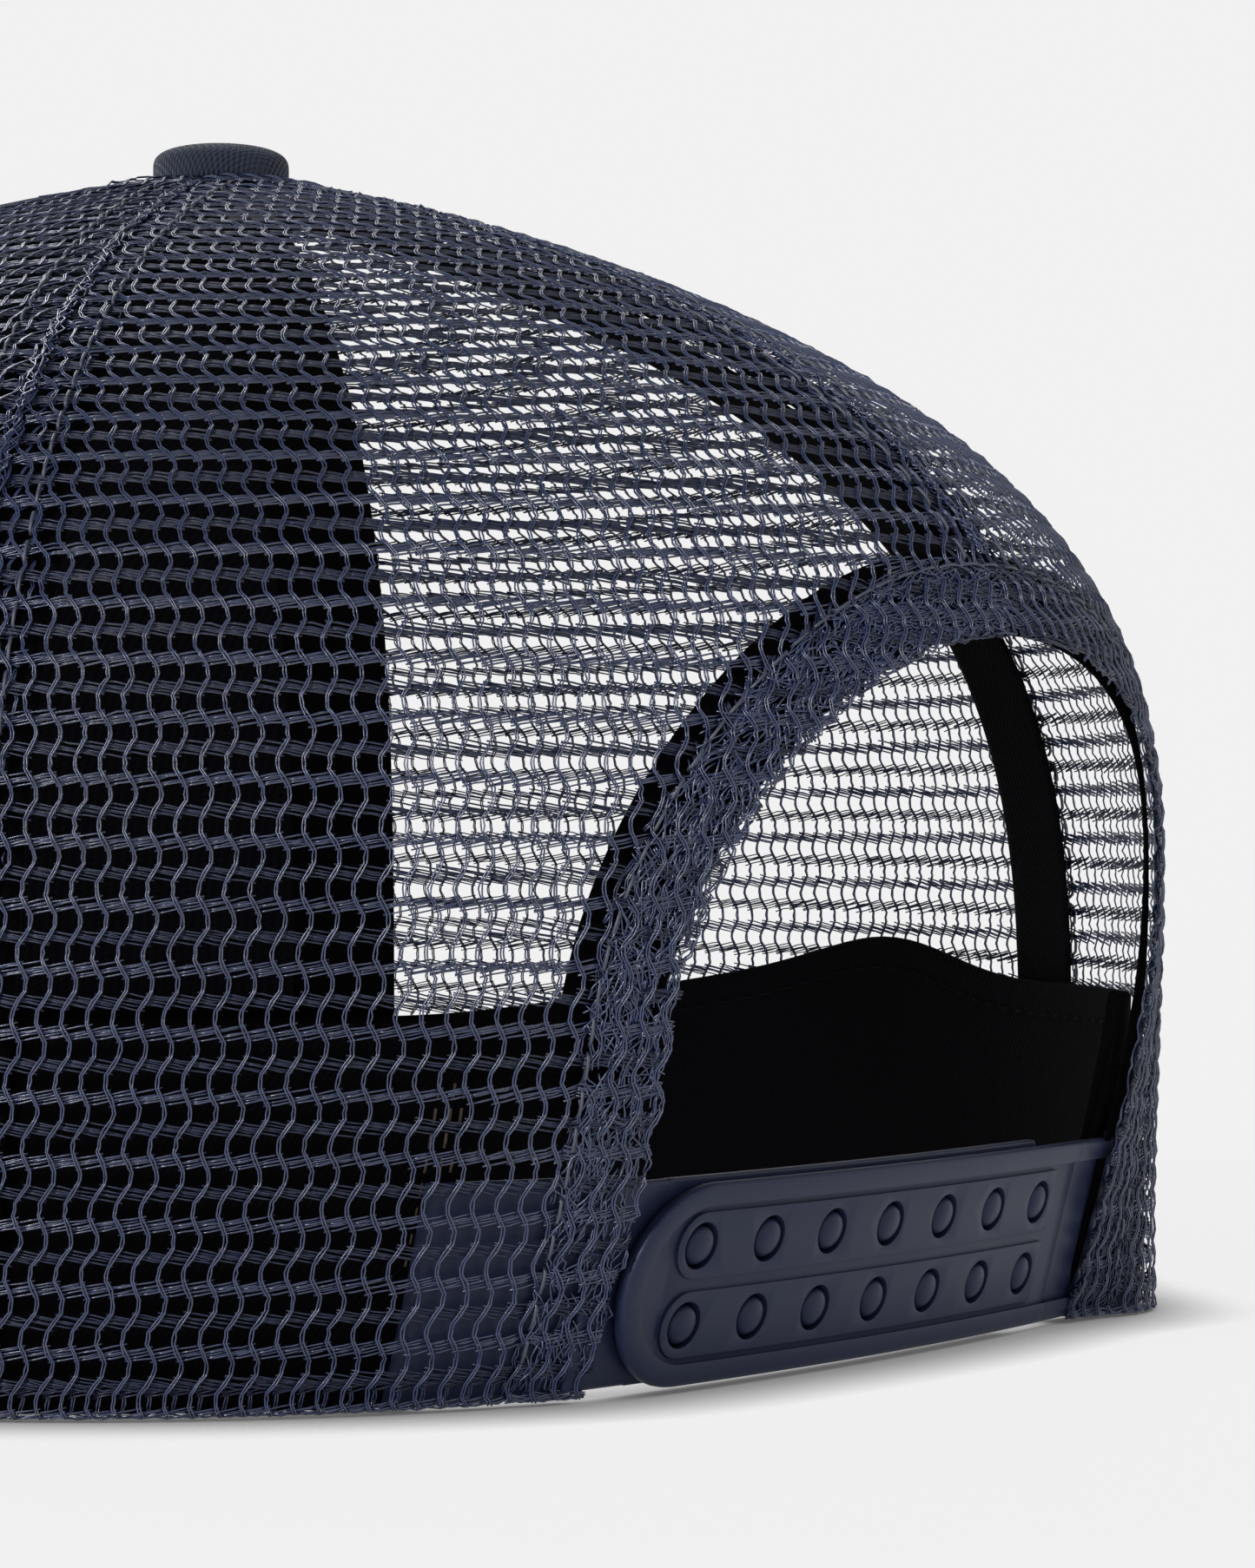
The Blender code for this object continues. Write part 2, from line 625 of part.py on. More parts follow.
def build():
    for obj in list(bpy.data.objects):
        bpy.data.objects.remove(obj)
    parts = new_collection("trucker_mesh_cap")
    cutters = new_collection("cutters")
    tools = new_collection("strap_tools")

    sides = ((1, "left", SIDE_SEAM_LEFT), (-1, "right", SIDE_SEAM_RIGHT))
    arch = arch_cutter(cutters)
    for side, word, side_seam in sides:
        seams = sorted((side * side_seam, side * FRONT_SEAM))
        side_net = panel("side_mesh_" + word, *seams, NET_THICKNESS, parts)
        material_for(side_net, NAVY, 0.75)
        seams = sorted((0.0, side * side_seam))
        rear_net = panel("rear_mesh_" + word, *seams, NET_THICKNESS, parts)
        boolean(rear_net, arch)
        material_for(rear_net, NAVY, 0.75)
        seams = sorted((side * FRONT_SEAM, side * CENTRE_FRONT))
        front = panel("front_panel_" + word, *seams, TWILL_THICKNESS, parts, front_rim_travel)
        material_for(front, NAVY, 0.85)
        for seam, place in ((side_seam, "side"), (FRONT_SEAM, "front")):
            name = "tape_" + place + "_" + word
            tape = seam_tape(name, side * seam, TAPE_DEPTH, travel_at_height(1.0), parts)
            material_for(tape, BLACK_CLOTH, 0.9)

    above_arch = travel_at_height(ARCH_TOP + BINDING_INSET + BINDING_WIDTH + 0.6)
    material_for(seam_tape("tape_centre_rear", 0.0, TAPE_DEPTH, above_arch, parts), BLACK_CLOTH, 0.9)
    above_visor = travel_at_height(VISOR_ARCH + 1.0)
    front_tape = seam_tape("tape_centre_front", CENTRE_FRONT, FRONT_TAPE_DEPTH, above_visor, parts)
    material_for(front_tape, BLACK_CLOTH, 0.9)
    material_for(stiffener(parts), BLACK_CLOTH, 0.95)
    material_for(sweatband(parts), BLACK_CLOTH, 0.9)
    material_for(arch_binding(parts), BLACK_CLOTH, 0.9)

    board, bottom, top = visor(parts)
    material_for(board, BOARD_WHITE, 0.6)
    material_for(bottom, NAVY, 0.85)
    material_for(top, NAVY, 0.85)

    cover, shell, washer = button(parts)
    material_for(cover, NAVY, 0.85)
    material_for(shell, STEEL, 0.4, 1.0)
    material_for(washer, STEEL, 0.4, 1.0)

    material_for(hole_strap(parts, tools), NAVY_PLASTIC, 0.45)
    material_for(peg_strap(parts, tools), NAVY_PLASTIC, 0.45)
    hole_span = (-STRAP_HALF_HEIGHT, STRAP_HALF_HEIGHT)
    peg_span = (0.4 - STRAP_HALF_HEIGHT, STRAP_HALF_HEIGHT + 0.5)
    material_for(bend_web("hole_strap_bend", -1, HOLE_PLATE, *hole_span, parts), NAVY_PLASTIC, 0.45)
    material_for(bend_web("peg_strap_bend", 1, PEG_PLATE, *peg_span, parts), NAVY_PLASTIC, 0.45)
    material_for(sewn_tab("hole_strap_tab", -1, *hole_span, parts), NAVY_PLASTIC, 0.45)
    material_for(sewn_tab("peg_strap_tab", 1, *peg_span, parts), NAVY_PLASTIC, 0.45)

    for tool in list(tools.objects):
        bpy.data.objects.remove(tool)
    bpy.data.collections.remove(tools)

    frame = bpy.data.objects.new("cap_frame", None)
    frame.location = (0.0, BUTTON_TO_MIDDLE * MM, 0.0)
    parts.objects.link(frame)
    for obj in list(parts.objects) + list(cutters.objects):
        if obj != frame:
            obj.parent = frame


build()
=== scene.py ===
"""Trucker mesh cap: the finished look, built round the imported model.

Shapes are worked out in millimetres measured from the button's axis, in the same terms as the
part: angle 0 is the rear and positive angles turn toward the wearer's left, travel runs from 0 at
the rim to 1 at the button, and depth is measured inward from the crown's outer face. mesh_piece()
turns them into metres in the part's own frame.
"""

import math

import bmesh
import bpy
import numpy as np
from mathutils import Matrix


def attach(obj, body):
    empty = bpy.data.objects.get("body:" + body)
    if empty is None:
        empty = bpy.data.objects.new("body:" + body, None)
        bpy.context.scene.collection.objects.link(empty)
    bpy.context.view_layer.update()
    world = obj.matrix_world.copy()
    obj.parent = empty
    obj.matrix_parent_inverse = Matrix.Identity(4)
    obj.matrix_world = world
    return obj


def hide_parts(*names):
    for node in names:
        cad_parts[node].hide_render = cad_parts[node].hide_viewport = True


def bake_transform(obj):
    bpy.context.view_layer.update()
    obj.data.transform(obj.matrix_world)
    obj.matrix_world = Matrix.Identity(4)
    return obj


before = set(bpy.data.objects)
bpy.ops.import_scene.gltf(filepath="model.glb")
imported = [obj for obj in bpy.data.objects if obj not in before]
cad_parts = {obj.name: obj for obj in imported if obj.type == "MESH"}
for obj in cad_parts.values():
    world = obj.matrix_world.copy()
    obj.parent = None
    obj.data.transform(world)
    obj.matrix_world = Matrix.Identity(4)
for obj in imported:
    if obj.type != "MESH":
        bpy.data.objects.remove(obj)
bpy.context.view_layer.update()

MM = 0.001
BUTTON_TO_MIDDLE = 37.9
SEED = 7

# Crown, as in the part.
HALF_WIDTH = 90.0
FRONT_REACH = 102.0
REAR_REACH = 106.0
CROWN_HEIGHT = 115.0
WALL_POWER = 4.28
DOME_POWER = 1.2
FRONT_FULLNESS = 0.31
PLAN_POWER_FRONT = 2.1
PLAN_POWER_REAR = 1.9
REAR_PULL = 21.0
PULL_HEIGHT = 89.0
RELIEF = 0.70
RELIEF_HEIGHT = 70.0
RELIEF_START = math.radians(24)
RELIEF_SPAN = math.radians(16)
RIM_RISE_SPAN = math.radians(16)  # the front rim rises to the visor's arch over this much of a turn
OUTLINE_STEPS = 801
RIPPLE = 0.004  # gentle unevenness of the cloth, as a share of the radius
RIPPLE_WAVES = ((1.0, 5, 7, 0.0), (0.6, 11, -9, 1.0))  # height, waves round the cap, waves up it, phase

SIDE_SEAM_LEFT = math.radians(65)
SIDE_SEAM_RIGHT = math.radians(58)
FRONT_SEAM = math.radians(120)
CENTRE_FRONT = math.radians(180)
BUTTON_HOLE_RADIUS = 2.2

# Cloth layers.
EDGE_ROUNDING = 0.35  # as a share of the cloth's thickness
TWILL_THICKNESS = 0.8
STIFFENER_DEPTH = 1.25
STIFFENER_THICKNESS = 0.5
STIFFENER_MARGIN = 5.0
STIFFENER_FOOT = 2.0
STIFFENER_TOP_RADIUS = 18.0
TAPE_DEPTH = 1.75
TAPE_THICKNESS = 0.45
TAPE_HALF_WIDTH = 6.0
TAPE_MEETING = 4.0  # the tapes lie over each other here, under the button
FRONT_TAPE_DEPTH = 2.4
BAND_DEPTH = 3.2
BAND_THICKNESS = 1.2
BAND_HEIGHT = 32.0
BAND_FOOT = 0.8
FOOT_CLEARANCE = 0.15
BAND_FALL = 6.5
BAND_FALL_START = math.radians(82)
BAND_FALL_SPAN = math.radians(36)
BAND_HUMP = math.radians(-75)
BAND_HUMP_SPAN = math.radians(9)
BAND_HUMP_RISE = 4.3
BAND_END_LEFT = math.radians(36)
BAND_END_RIGHT = math.radians(25.5)

# Rear opening.
ARCH_HALF_WIDTH = 38.0
ARCH_SPRING = 32.0
ARCH_TOP = 65.5
BINDING_INSET = 0.8
BINDING_WIDTH = 8.0
BINDING_FOOT = 24.0
BINDING_FOOT_RIGHT = 1.5
BINDING_TO_TAPE = 0.6
ARCH_LEG_STEPS = 10

# Net. Wales are the upright chains of loops, and bundles the slanting yarns laid between them.
WALE_PITCH = 2.1
ROW_PITCH = 2.62
WALE_SWAY = WALE_PITCH / 4.7
STRAND_RADIUS = 0.088
STRAND_SPREAD = 0.12
STRAND_UNEVEN = 0.15
STRAND_STAGGER = 0.03
WALE_DEPTH = 0.32
YARN_RADIUS = 0.09
YARN_RISE = 0.40
YARN_SPREAD = 0.265
YARN_DEPTH = 0.58
YARN_SCATTER = 0.28
YARN_CROWN = 0.07
HOLE_SHARE = 0.20  # half the height of a hole, as a share of the row pitch
NET_JITTER = 0.035
FOLD_DEPTH = 1.3  # a folded layer lies under the outer one: its depth is this less the outer depth
SEAM_FOLD = 5.0
SEAM_FOLD_SHARE = 0.7  # and never more than this share of the panel's half width
RIM_FOLD = 2.9
HEM_FOLD = 7.5
HEM_STITCH = 6.6
HEM_DIP = 0.5
HEM_DIP_WIDTH = 0.9
HEM_LOOPS = 2900
HEM_CROWDING = 0.75  # below one, the loops crowd toward the wearer's right
HEM_BUNCHING = 1.8  # the hem's loops spread this much wider down the wearer's right
HEM_LOOP_LENGTH = 2.7
HEM_LOOP_TURN = math.radians(26)
HEM_LOOP_DEPTH = 0.62
HEM_LOOP_JITTER = 0.12
HEM_LOOP_DEPTH_JITTER = 0.1
HEM_LOOP_FOOT = 0.3  # no loop hangs lower than this
SEAM_GAP = 0.1
SEAM_DIP = 0.2
SEAM_DIP_WIDTH = 1.2
RIM_SHARE = 0.58  # the first hole's middle, in rows above the rim's fold
GORE_ROWS = 141
GORE_COLUMNS = 61

# Stitching.
STITCH_LENGTH = 2.5
STITCH_GAP = 0.6
STITCH_RADIUS = 0.17
STITCH_STEPS = 260
TOPSTITCH = 3.6
SEAM_STITCH_DEPTH = 0.12
HEM_STITCH_DEPTH = 0.45
FRONT_STITCH_DEPTH = -0.05
BAND_STITCH_DROP = 3.5  # the row lies this far under the sweatband's top edge
BAND_STITCH_STEPS = 600
END_STITCH_INSETS = (0.8, 1.8, 3.2)
END_STITCH_STEPS = 160
RIDGE_STRANDS = 7
RIDGE_STEPS = 170
RIDGE_SPREAD = 0.42
RIDGE_DEPTH = 0.25
RIDGE_JITTER = 0.12

# Visor.
VISOR_HALF_WIDTH = 84.0
VISOR_REACH = 172.0
VISOR_ARCH = 9.0
VISOR_LIFT = 2.5
VISOR_ROOT_GAP = 0.5
VISOR_SEAM = math.radians(121)
VISOR_ROUNDNESS = 0.85
VISOR_GRID = (41, 121)
BOARD_THICKNESS = 1.8
COVER_THICKNESS = 0.6
COVER_GAP = 0.3
VISOR_STITCH_ROWS = 6
VISOR_STITCH_STEP = 8.0
VISOR_STITCH_EDGE = 3.0
VISOR_STITCH_RISE = 0.05
VISOR_BOTTOM_INSET = 0.6
LIP_SWELL = 0.35  # the top cover rounds over the visor's edge, and stops LIP_GAP short of its foot
LIP_GAP = 0.1
LIP_STEPS = 6

# Button.
BUTTON_RADIUS = 6.9
BUTTON_BASE = CROWN_HEIGHT + 0.2
BUTTON_HEIGHT = 2.6
BUTTON_SKIN = 0.6
BUTTON_SHOULDER = 0.8
BUTTON_FLATNESS = 0.6
BUTTON_CURL = 1.1
BUTTON_STEPS = 96
BUTTON_SKIRT = 1.6  # the cloth's edge drops this far below the shell to meet the crown
BUTTON_SWELL = 0.6  # the gathered net swells this far round the button's foot
SWELL_RADIUS = 8.0
SWELL_WIDTH = 3.0

# Closure.
CLOSURE_RADIUS = 298.0
CLOSURE_LEAN = 0.275
CLOSURE_TUCK = 1.6
CLOSURE_Z = 9.3
STRAP_HALF_HEIGHT = 8.9
PEG_PITCH = 9.1
PEG_ROW = 3.45
PEG_COUNT = 7
PEG_STEPS = 24
PEG_PROFILE = (  # share of the head's reach, share of the radius
    (-0.4, 0.97), (0.5, 1.0), (0.62, 0.98), (0.75, 0.9), (0.87, 0.74), (0.95, 0.5), (0.99, 0.25), (1.0, 0.08)
)
PEG_RADIUS = 1.72
PEG_SHIFT = 0.25  # the strap's pull holds each peg against one side of its hole
HOLE_RADIUS = 2.05
PATTERN_CENTRE = 1.5
HINGE_S = 35.0
BEND_HALF_WIDTH = 2.0
WEB_TUCK = 3.4  # the bend runs this far past its line, under the sewn end
PEG_PLATE = (0.0, 1.3)
PEG_HEAD_REACH = 3.15
HOLE_PLATE = (1.6, 3.2)
STRAP_RIM = 2.0  # the raised rim round the hole strap's pocket
POCKET_DEPTH = 0.6
LANE_HALF_HEIGHT = 2.9
LANE_START = 3.0
LANE_RISE = 0.35
LANE_ROOT = 0.3
WEB_LAP = 0.9
WEB_SHRINK = 0.02  # keeps the lapped faces apart
HOLE_STRAP_TIP = 37.2
PEG_STRAP_TIP = -28.0
PEG_STRAP_FOOT = 0.4  # its edges against the hole strap's: higher at the foot and at the top
PEG_STRAP_TOP = 0.5
FACET = 2.0
TAB_DEPTH = 1.6
TAB_THICKNESS = 1.3
TAB_EDGE = 39.6
TAB_END = math.radians(38)

# Colours, linear.
NET_NAVY = (0.0130, 0.0222, 0.0650)
TWILL_NAVY = (0.015, 0.021, 0.041)
THREAD_NAVY = (0.030, 0.038, 0.064)
PLASTIC_NAVY = (0.0124, 0.0172, 0.0425)
CLOTH_BLACK = (0.0008, 0.0009, 0.0015)
THREAD_BLACK = (0.0022, 0.0023, 0.0032)
THREAD_BROWN = (0.060, 0.042, 0.030)
BUCKRAM_GREY = (0.0030, 0.0032, 0.0045)
STEEL = (0.55, 0.56, 0.58)
BOARD_WHITE = (0.72, 0.72, 0.69)

# Camera and stage. Each sun: how far left, toward the camera and up it stands, strength, spread in degrees.
CAMERA_AZIMUTH = math.radians(132.84)
CAMERA_DISTANCE = 454.4
CAMERA_HEIGHT = 48.4
CAMERA_PITCH = math.radians(-0.56)  # positive looks down
CAMERA_TURN = math.radians(5.23)  # turned this far right of the button
LENS = 102.04
SENSOR = 36.0
BACKDROP = 0.879
CEILING = 0.15  # the backdrop dims from CEILING_START, a share of straight up, to this overhead
CEILING_START = 0.22
FLOOR_ALBEDO = 0.05
# The floor's painted contact shadow: how far it reaches (metres), how deep it goes, its falloff and its
# samples.
CONTACT_REACH = 0.012
CONTACT_SHADE = 0.92
CONTACT_POWER = 1.8
CONTACT_SAMPLES = 8
FLOOR_REACH = 12.0
FLOOR_DROP = 0.0002
SUNS = {
    "key": (1.0, 1.0, 0.7, 2.1, 14),
    "fill": (-0.8, 0.8, 0.5, 0.15, 60),
    "back": (0.5, -1.0, 0.8, 0.7, 16),
}


# ---------------------------------------------------------------- crown

def crown_outline():
    """Heights, widths as a share of the rim's, travel from rim to button, and its whole length."""
    rise = 1.0 - (1.0 - np.linspace(0.0, 1.0, OUTLINE_STEPS)) ** 3
    share = (1.0 - rise**WALL_POWER) ** (1.0 / DOME_POWER)
    heights = CROWN_HEIGHT * rise
    lengths = np.hypot(np.diff(share * HALF_WIDTH), np.diff(heights))
    travel = np.concatenate([[0.0], np.cumsum(lengths)])
    return heights, share, travel / travel[-1], travel[-1]


HEIGHTS, SHARES, TRAVEL, SIDE_LENGTH = crown_outline()


def travel_at_height(height):
    return np.interp(height, HEIGHTS, TRAVEL)


def travel_at_radius(radius):
    return float(np.interp(-radius / HALF_WIDTH, -SHARES, TRAVEL))


CROWN_TOP = travel_at_radius(BUTTON_HOLE_RADIUS)


def ripple(angle, travel):
    """Low waves in the cloth, gone at the rim and at the button."""
    waves = 0.0
    for height, around, upward, phase in RIPPLE_WAVES:
        waves = waves + height * np.sin(around * angle + upward * travel + phase)
    return 1.0 + RIPPLE * waves * np.sin(math.pi * np.clip(travel, 0.0, 1.0)) ** 2


def smooth_step(share):
    share = np.clip(share, 0.0, 1.0)
    return share * share * (3.0 - 2.0 * share)


def rear_pull(angle, height):
    """How far the closed strap draws the rear wall inward at this angle and height."""
    fade = np.clip(1.0 - height / PULL_HEIGHT, 0.0, None) ** 2
    right = np.remainder(math.pi - angle, 2 * math.pi) - math.pi
    relief = RELIEF * np.clip(1.0 - height / RELIEF_HEIGHT, 0.0, None)
    relief = relief * smooth_step((right - RELIEF_START) / RELIEF_SPAN)
    return REAR_PULL * fade * np.cos(angle) ** 2 * (1.0 - relief)


def crown(angle, travel):
    """Points of the crown's outer face, for arrays of angles and travels."""
    height = np.interp(travel, TRAVEL, HEIGHTS)
    sine, cosine = np.sin(angle), np.cos(angle)
    rear = cosine > 0
    dome = DOME_POWER + FRONT_FULLNESS * np.maximum(-cosine, 0.0)
    share = np.interp(travel, TRAVEL, SHARES) ** (DOME_POWER / dome) * ripple(angle, travel)
    power = np.where(rear, PLAN_POWER_REAR, PLAN_POWER_FRONT)
    reach = np.where(rear, REAR_REACH, FRONT_REACH)
    scale = share * (np.abs(sine) ** power + np.abs(cosine) ** power) ** (-1.0 / power)
    pull = np.where(rear, rear_pull(angle, height), 0.0)
    parts = (HALF_WIDTH * scale * sine, reach * scale * cosine - pull, height)
    return np.stack(np.broadcast_arrays(*parts), axis=-1)


def unit(vectors):
    return vectors / np.maximum(np.linalg.norm(vectors, axis=-1, keepdims=True), 1e-12)


def crown_normal(angle, travel):
    step = 1e-3
    along = crown(angle + step, travel) - crown(angle - step, travel)
    up = crown(angle, np.minimum(travel + step, 1.0)) - crown(angle, np.maximum(travel - step, 0.0))
    return unit(np.cross(up, along))


def crown_layer(angle, travel, depth):
    return crown(angle, travel) - crown_normal(angle, travel) * np.asarray(depth)[..., None]


def angle_at(x, height):
    """The angle of the rear wall where it stands at this x."""
    share = np.interp(travel_at_height(height), TRAVEL, SHARES)
    reach = np.clip(np.abs(x) / (HALF_WIDTH * share), 0.0, 0.98)
    depth = (1.0 - reach**PLAN_POWER_REAR) ** (1.0 / PLAN_POWER_REAR)
    return np.sign(x) * np.arctan2(reach, depth)


def beside(angle, travel, distance):
    """The angle that lies this far from a seam, toward the wearer's left at the rear."""
    point = crown(angle, travel)
    return angle + distance / np.hypot(point[..., 0], point[..., 1])


def visor_arch(x):
    return VISOR_ARCH * (1.0 - (x / HALF_WIDTH) ** 2)


def front_rim_travel(angle):
    """The front panels' lower edge rises over the arched visor."""
    turned = np.abs(np.where(angle > math.pi, 2 * math.pi - angle, angle))
    share = smooth_step((turned - FRONT_SEAM) / RIM_RISE_SPAN)
    return travel_at_height(share * visor_arch(crown(turned, 0.0)[..., 0]))


# ---------------------------------------------------------------- meshes

def to_world(points):
    return (np.asarray(points) + (0.0, BUTTON_TO_MIDDLE, 0.0)) * MM


def mesh_piece(name, points, faces, material, flat=None):
    """A piece from millimetre points. flat gives each point its place in the cloth's own pattern."""
    mesh = bpy.data.meshes.new(name)
    mesh.from_pydata(to_world(points), [], faces)
    mesh.update()
    if flat is not None:
        corners = np.empty(len(mesh.loops), np.int32)
        mesh.loops.foreach_get("vertex_index", corners)
        layer = mesh.uv_layers.new(name="pattern")
        layer.data.foreach_set("uv", np.asarray(flat, np.float32)[corners].ravel())
    mesh.polygons.foreach_set("use_smooth", np.ones(len(mesh.polygons), bool))
    mesh.materials.append(material)
    obj = bpy.data.objects.new(name, mesh)
    bpy.context.scene.collection.objects.link(obj)
    return obj


def distances(points):
    """How far along a line each of its points lies."""
    return np.concatenate([[0.0], np.cumsum(np.linalg.norm(np.diff(points, axis=0), axis=1))])


def belongs(obj, body, slot, *nodes):
    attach(obj, body)
    if nodes:
        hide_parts(*nodes)


def thread_piece(name, shape, look, slot="navy_net"):
    """Yarn or stitches, from their points and faces, which ride on the cap."""
    belongs(mesh_piece(name, *shape, look), "cap", slot)


def grid_normals(grid):
    up = np.gradient(grid, axis=0)
    along = np.gradient(grid, axis=1)
    return unit(np.cross(up, along))


def grid_pattern(grid):
    """Distances along and up a grid of points, as flat pattern coordinates in millimetres."""
    along = np.linalg.norm(np.diff(grid, axis=1), axis=2)
    up = np.linalg.norm(np.diff(grid, axis=0), axis=2)
    rows, columns = grid.shape[:2]
    across = np.concatenate([np.zeros((rows, 1)), np.cumsum(along, axis=1)], axis=1)
    across -= across[:, columns // 2][:, None]
    rise = np.concatenate([np.zeros((1, columns)), np.cumsum(up, axis=0)], axis=0)
    return np.stack([across, rise], axis=-1)


def sheet(name, grid, thickness, material):
    """Cloth of this thickness behind a grid (rows upward, columns toward +X), with rounded edges."""
    normals = grid_normals(grid)
    rows, columns = grid.shape[:2]
    inset = EDGE_ROUNDING * thickness
    front = grid.copy()
    rim = np.zeros((rows, columns), bool)
    rim[[0, -1]] = True
    rim[:, [0, -1]] = True
    front[rim] -= normals[rim] * inset
    back = grid - normals * thickness
    back[rim] += normals[rim] * inset
    points = np.concatenate([front.reshape(-1, 3), back.reshape(-1, 3)])
    index = np.arange(rows * columns).reshape(rows, columns)
    corners = (index[:-1, :-1], index[1:, :-1], index[1:, 1:], index[:-1, 1:])
    outer = np.stack(corners, axis=-1).reshape(-1, 4)
    inner = outer[:, ::-1] + rows * columns
    loop = np.concatenate([index[0, :], index[1:, -1], index[-1, -2::-1], index[-2:0:-1, 0]])
    after = np.roll(loop, -1)
    sides = np.stack([loop, after, after + rows * columns, loop + rows * columns], axis=-1)
    pattern = grid_pattern(grid).reshape(-1, 2)
    faces = np.concatenate([outer, inner, sides])
    return mesh_piece(name, points, faces, material, np.concatenate([pattern, pattern]))


def tubes(lines, aims, radius, keep=None):
    """Points and faces of four-sided tubes along lines (count, points, 3) where keep is true."""
    count, length = lines.shape[:2]
    keep = np.ones((count, length), bool) if keep is None else keep
    along = unit(np.gradient(lines, axis=1) + 1e-9)
    aside = unit(np.cross(along, aims))
    upward = np.cross(aside, along)
    turns = math.pi / 4 + math.pi / 2 * np.arange(4)
    ring = np.cos(turns)[:, None] * aside[:, :, None, :] + np.sin(turns)[:, None] * upward[:, :, None, :]
    points = (lines[:, :, None, :] + ring * radius).reshape(-1, 3)
    first = 4 * (np.arange(count)[:, None] * length + np.arange(length)[None, :])
    there = keep[:, :-1] & keep[:, 1:]
    low, high = first[:, :-1][there], first[:, 1:][there]
    pairs = [(k, (k + 1) % 4) for k in range(4)]
    sides = [np.stack([low + k, low + after, high + after, high + k], axis=-1) for k, after in pairs]
    blank = np.zeros((count, 1), bool)
    starts = first[:, :-1][there & ~np.concatenate([blank, there[:, :-1]], axis=1)]
    ends = first[:, 1:][there & ~np.concatenate([there[:, 1:], blank], axis=1)]
    caps = [starts[:, None] + np.array([3, 2, 1, 0]), ends[:, None] + np.arange(4)]
    faces = np.concatenate(sides + caps)
    used, places = np.unique(faces, return_inverse=True)
    return points[used], places.reshape(faces.shape)


def joined(shapes):
    """One list of points and faces from several."""
    points, faces, count = [], [], 0
    for some_points, some_faces in shapes:
        points.append(some_points)
        faces.append(some_faces + count)
        count += len(some_points)
    return np.concatenate(points), np.concatenate(faces)


def stitch_line(points, normals, length=STITCH_LENGTH, gap=STITCH_GAP, radius=STITCH_RADIUS):
    """Separate stitches along a line, each sinking into the cloth at its ends."""
    distance = distances(points)
    count = int(distance[-1] / (length + gap))
    shares = np.array([0.0, 0.15, 0.5, 0.85, 1.0])
    sinks = np.array([0.5, 0.08, 0.0, 0.08, 0.5])
    places = np.arange(count)[:, None] * (length + gap) + gap / 2 + shares * length
    lines = np.stack([np.interp(places, distance, points[:, k]) for k in range(3)], axis=-1)
    aims = np.stack([np.interp(places, distance, normals[:, k]) for k in range(3)], axis=-1)
    return tubes(lines - aims * sinks[None, :, None], aims, radius)


# ---------------------------------------------------------------- materials

def new_node(tree, kind, **settings):
    node = tree.nodes.new("ShaderNode" + kind)
    for key, value in settings.items():
        setattr(node, key, value)
    return node


def principled(name, roughness, **sockets):
    material = bpy.data.materials.new(name)
    material.use_nodes = True
    shader = material.node_tree.nodes["Principled BSDF"]
    shader.inputs["Roughness"].default_value = roughness
    for socket, value in sockets.items():
        shader.inputs[socket.replace("_", " ")].default_value = value
    return material, material.node_tree, shader


def noise(tree, place, scale, detail=2.0):
    node = new_node(tree, "TexNoise")
    node.inputs["Scale"].default_value = scale
    node.inputs["Detail"].default_value = detail
    tree.links.new(place, node.inputs["Vector"])
    return node.outputs["Fac"]


def ribs(tree, place, pitch, turn):
    """Parallel ribs of this pitch, turned by this angle in the pattern."""
    turned = new_node(tree, "Mapping")
    turned.inputs["Rotation"].default_value = (0.0, 0.0, turn)
    wave = new_node(tree, "TexWave", bands_direction="X")
    wave.inputs["Scale"].default_value = math.pi / 10 / pitch
    wave.inputs["Distortion"].default_value = 0.6
    wave.inputs["Detail"].default_value = 1.0
    wave.inputs["Detail Scale"].default_value = 1.5
    tree.links.new(place, turned.inputs["Vector"])
    tree.links.new(turned.outputs["Vector"], wave.inputs["Vector"])
    return wave.outputs["Fac"]


def maths(tree, operation, a, b):
    node = new_node(tree, "Math", operation=operation)
    for socket, value in zip(node.inputs, (a, b)):
        if isinstance(value, (int, float)):
            socket.default_value = value
        else:
            tree.links.new(value, socket)
    return node.outputs["Value"]


def weighted(tree, first, share, second):
    """This share of the first value and the rest of the second."""
    first = maths(tree, "MULTIPLY", first, share)
    return maths(tree, "ADD", first, maths(tree, "MULTIPLY", second, 1.0 - share))


def coloured(tree, shader, share, dark, pale):
    """Runs the base colour from dark to pale."""
    node = new_node(tree, "Mix", data_type="RGBA")
    colours = [socket for socket in node.inputs if socket.type == "RGBA"]
    colours[0].default_value = (*dark, 1.0)
    colours[1].default_value = (*pale, 1.0)
    tree.links.new(share, node.inputs["Factor"])
    colour = [socket for socket in node.outputs if socket.type == "RGBA"][0]
    tree.links.new(colour, shader.inputs["Base Color"])


def scaled(colour, share):
    return tuple(channel * share for channel in colour)


def bump(tree, shader, height, distance, strength=1.0):
    node = new_node(tree, "Bump")
    node.inputs["Strength"].default_value = strength
    node.inputs["Distance"].default_value = distance * MM
    tree.links.new(height, node.inputs["Height"])
    tree.links.new(node.outputs["Normal"], shader.inputs["Normal"])


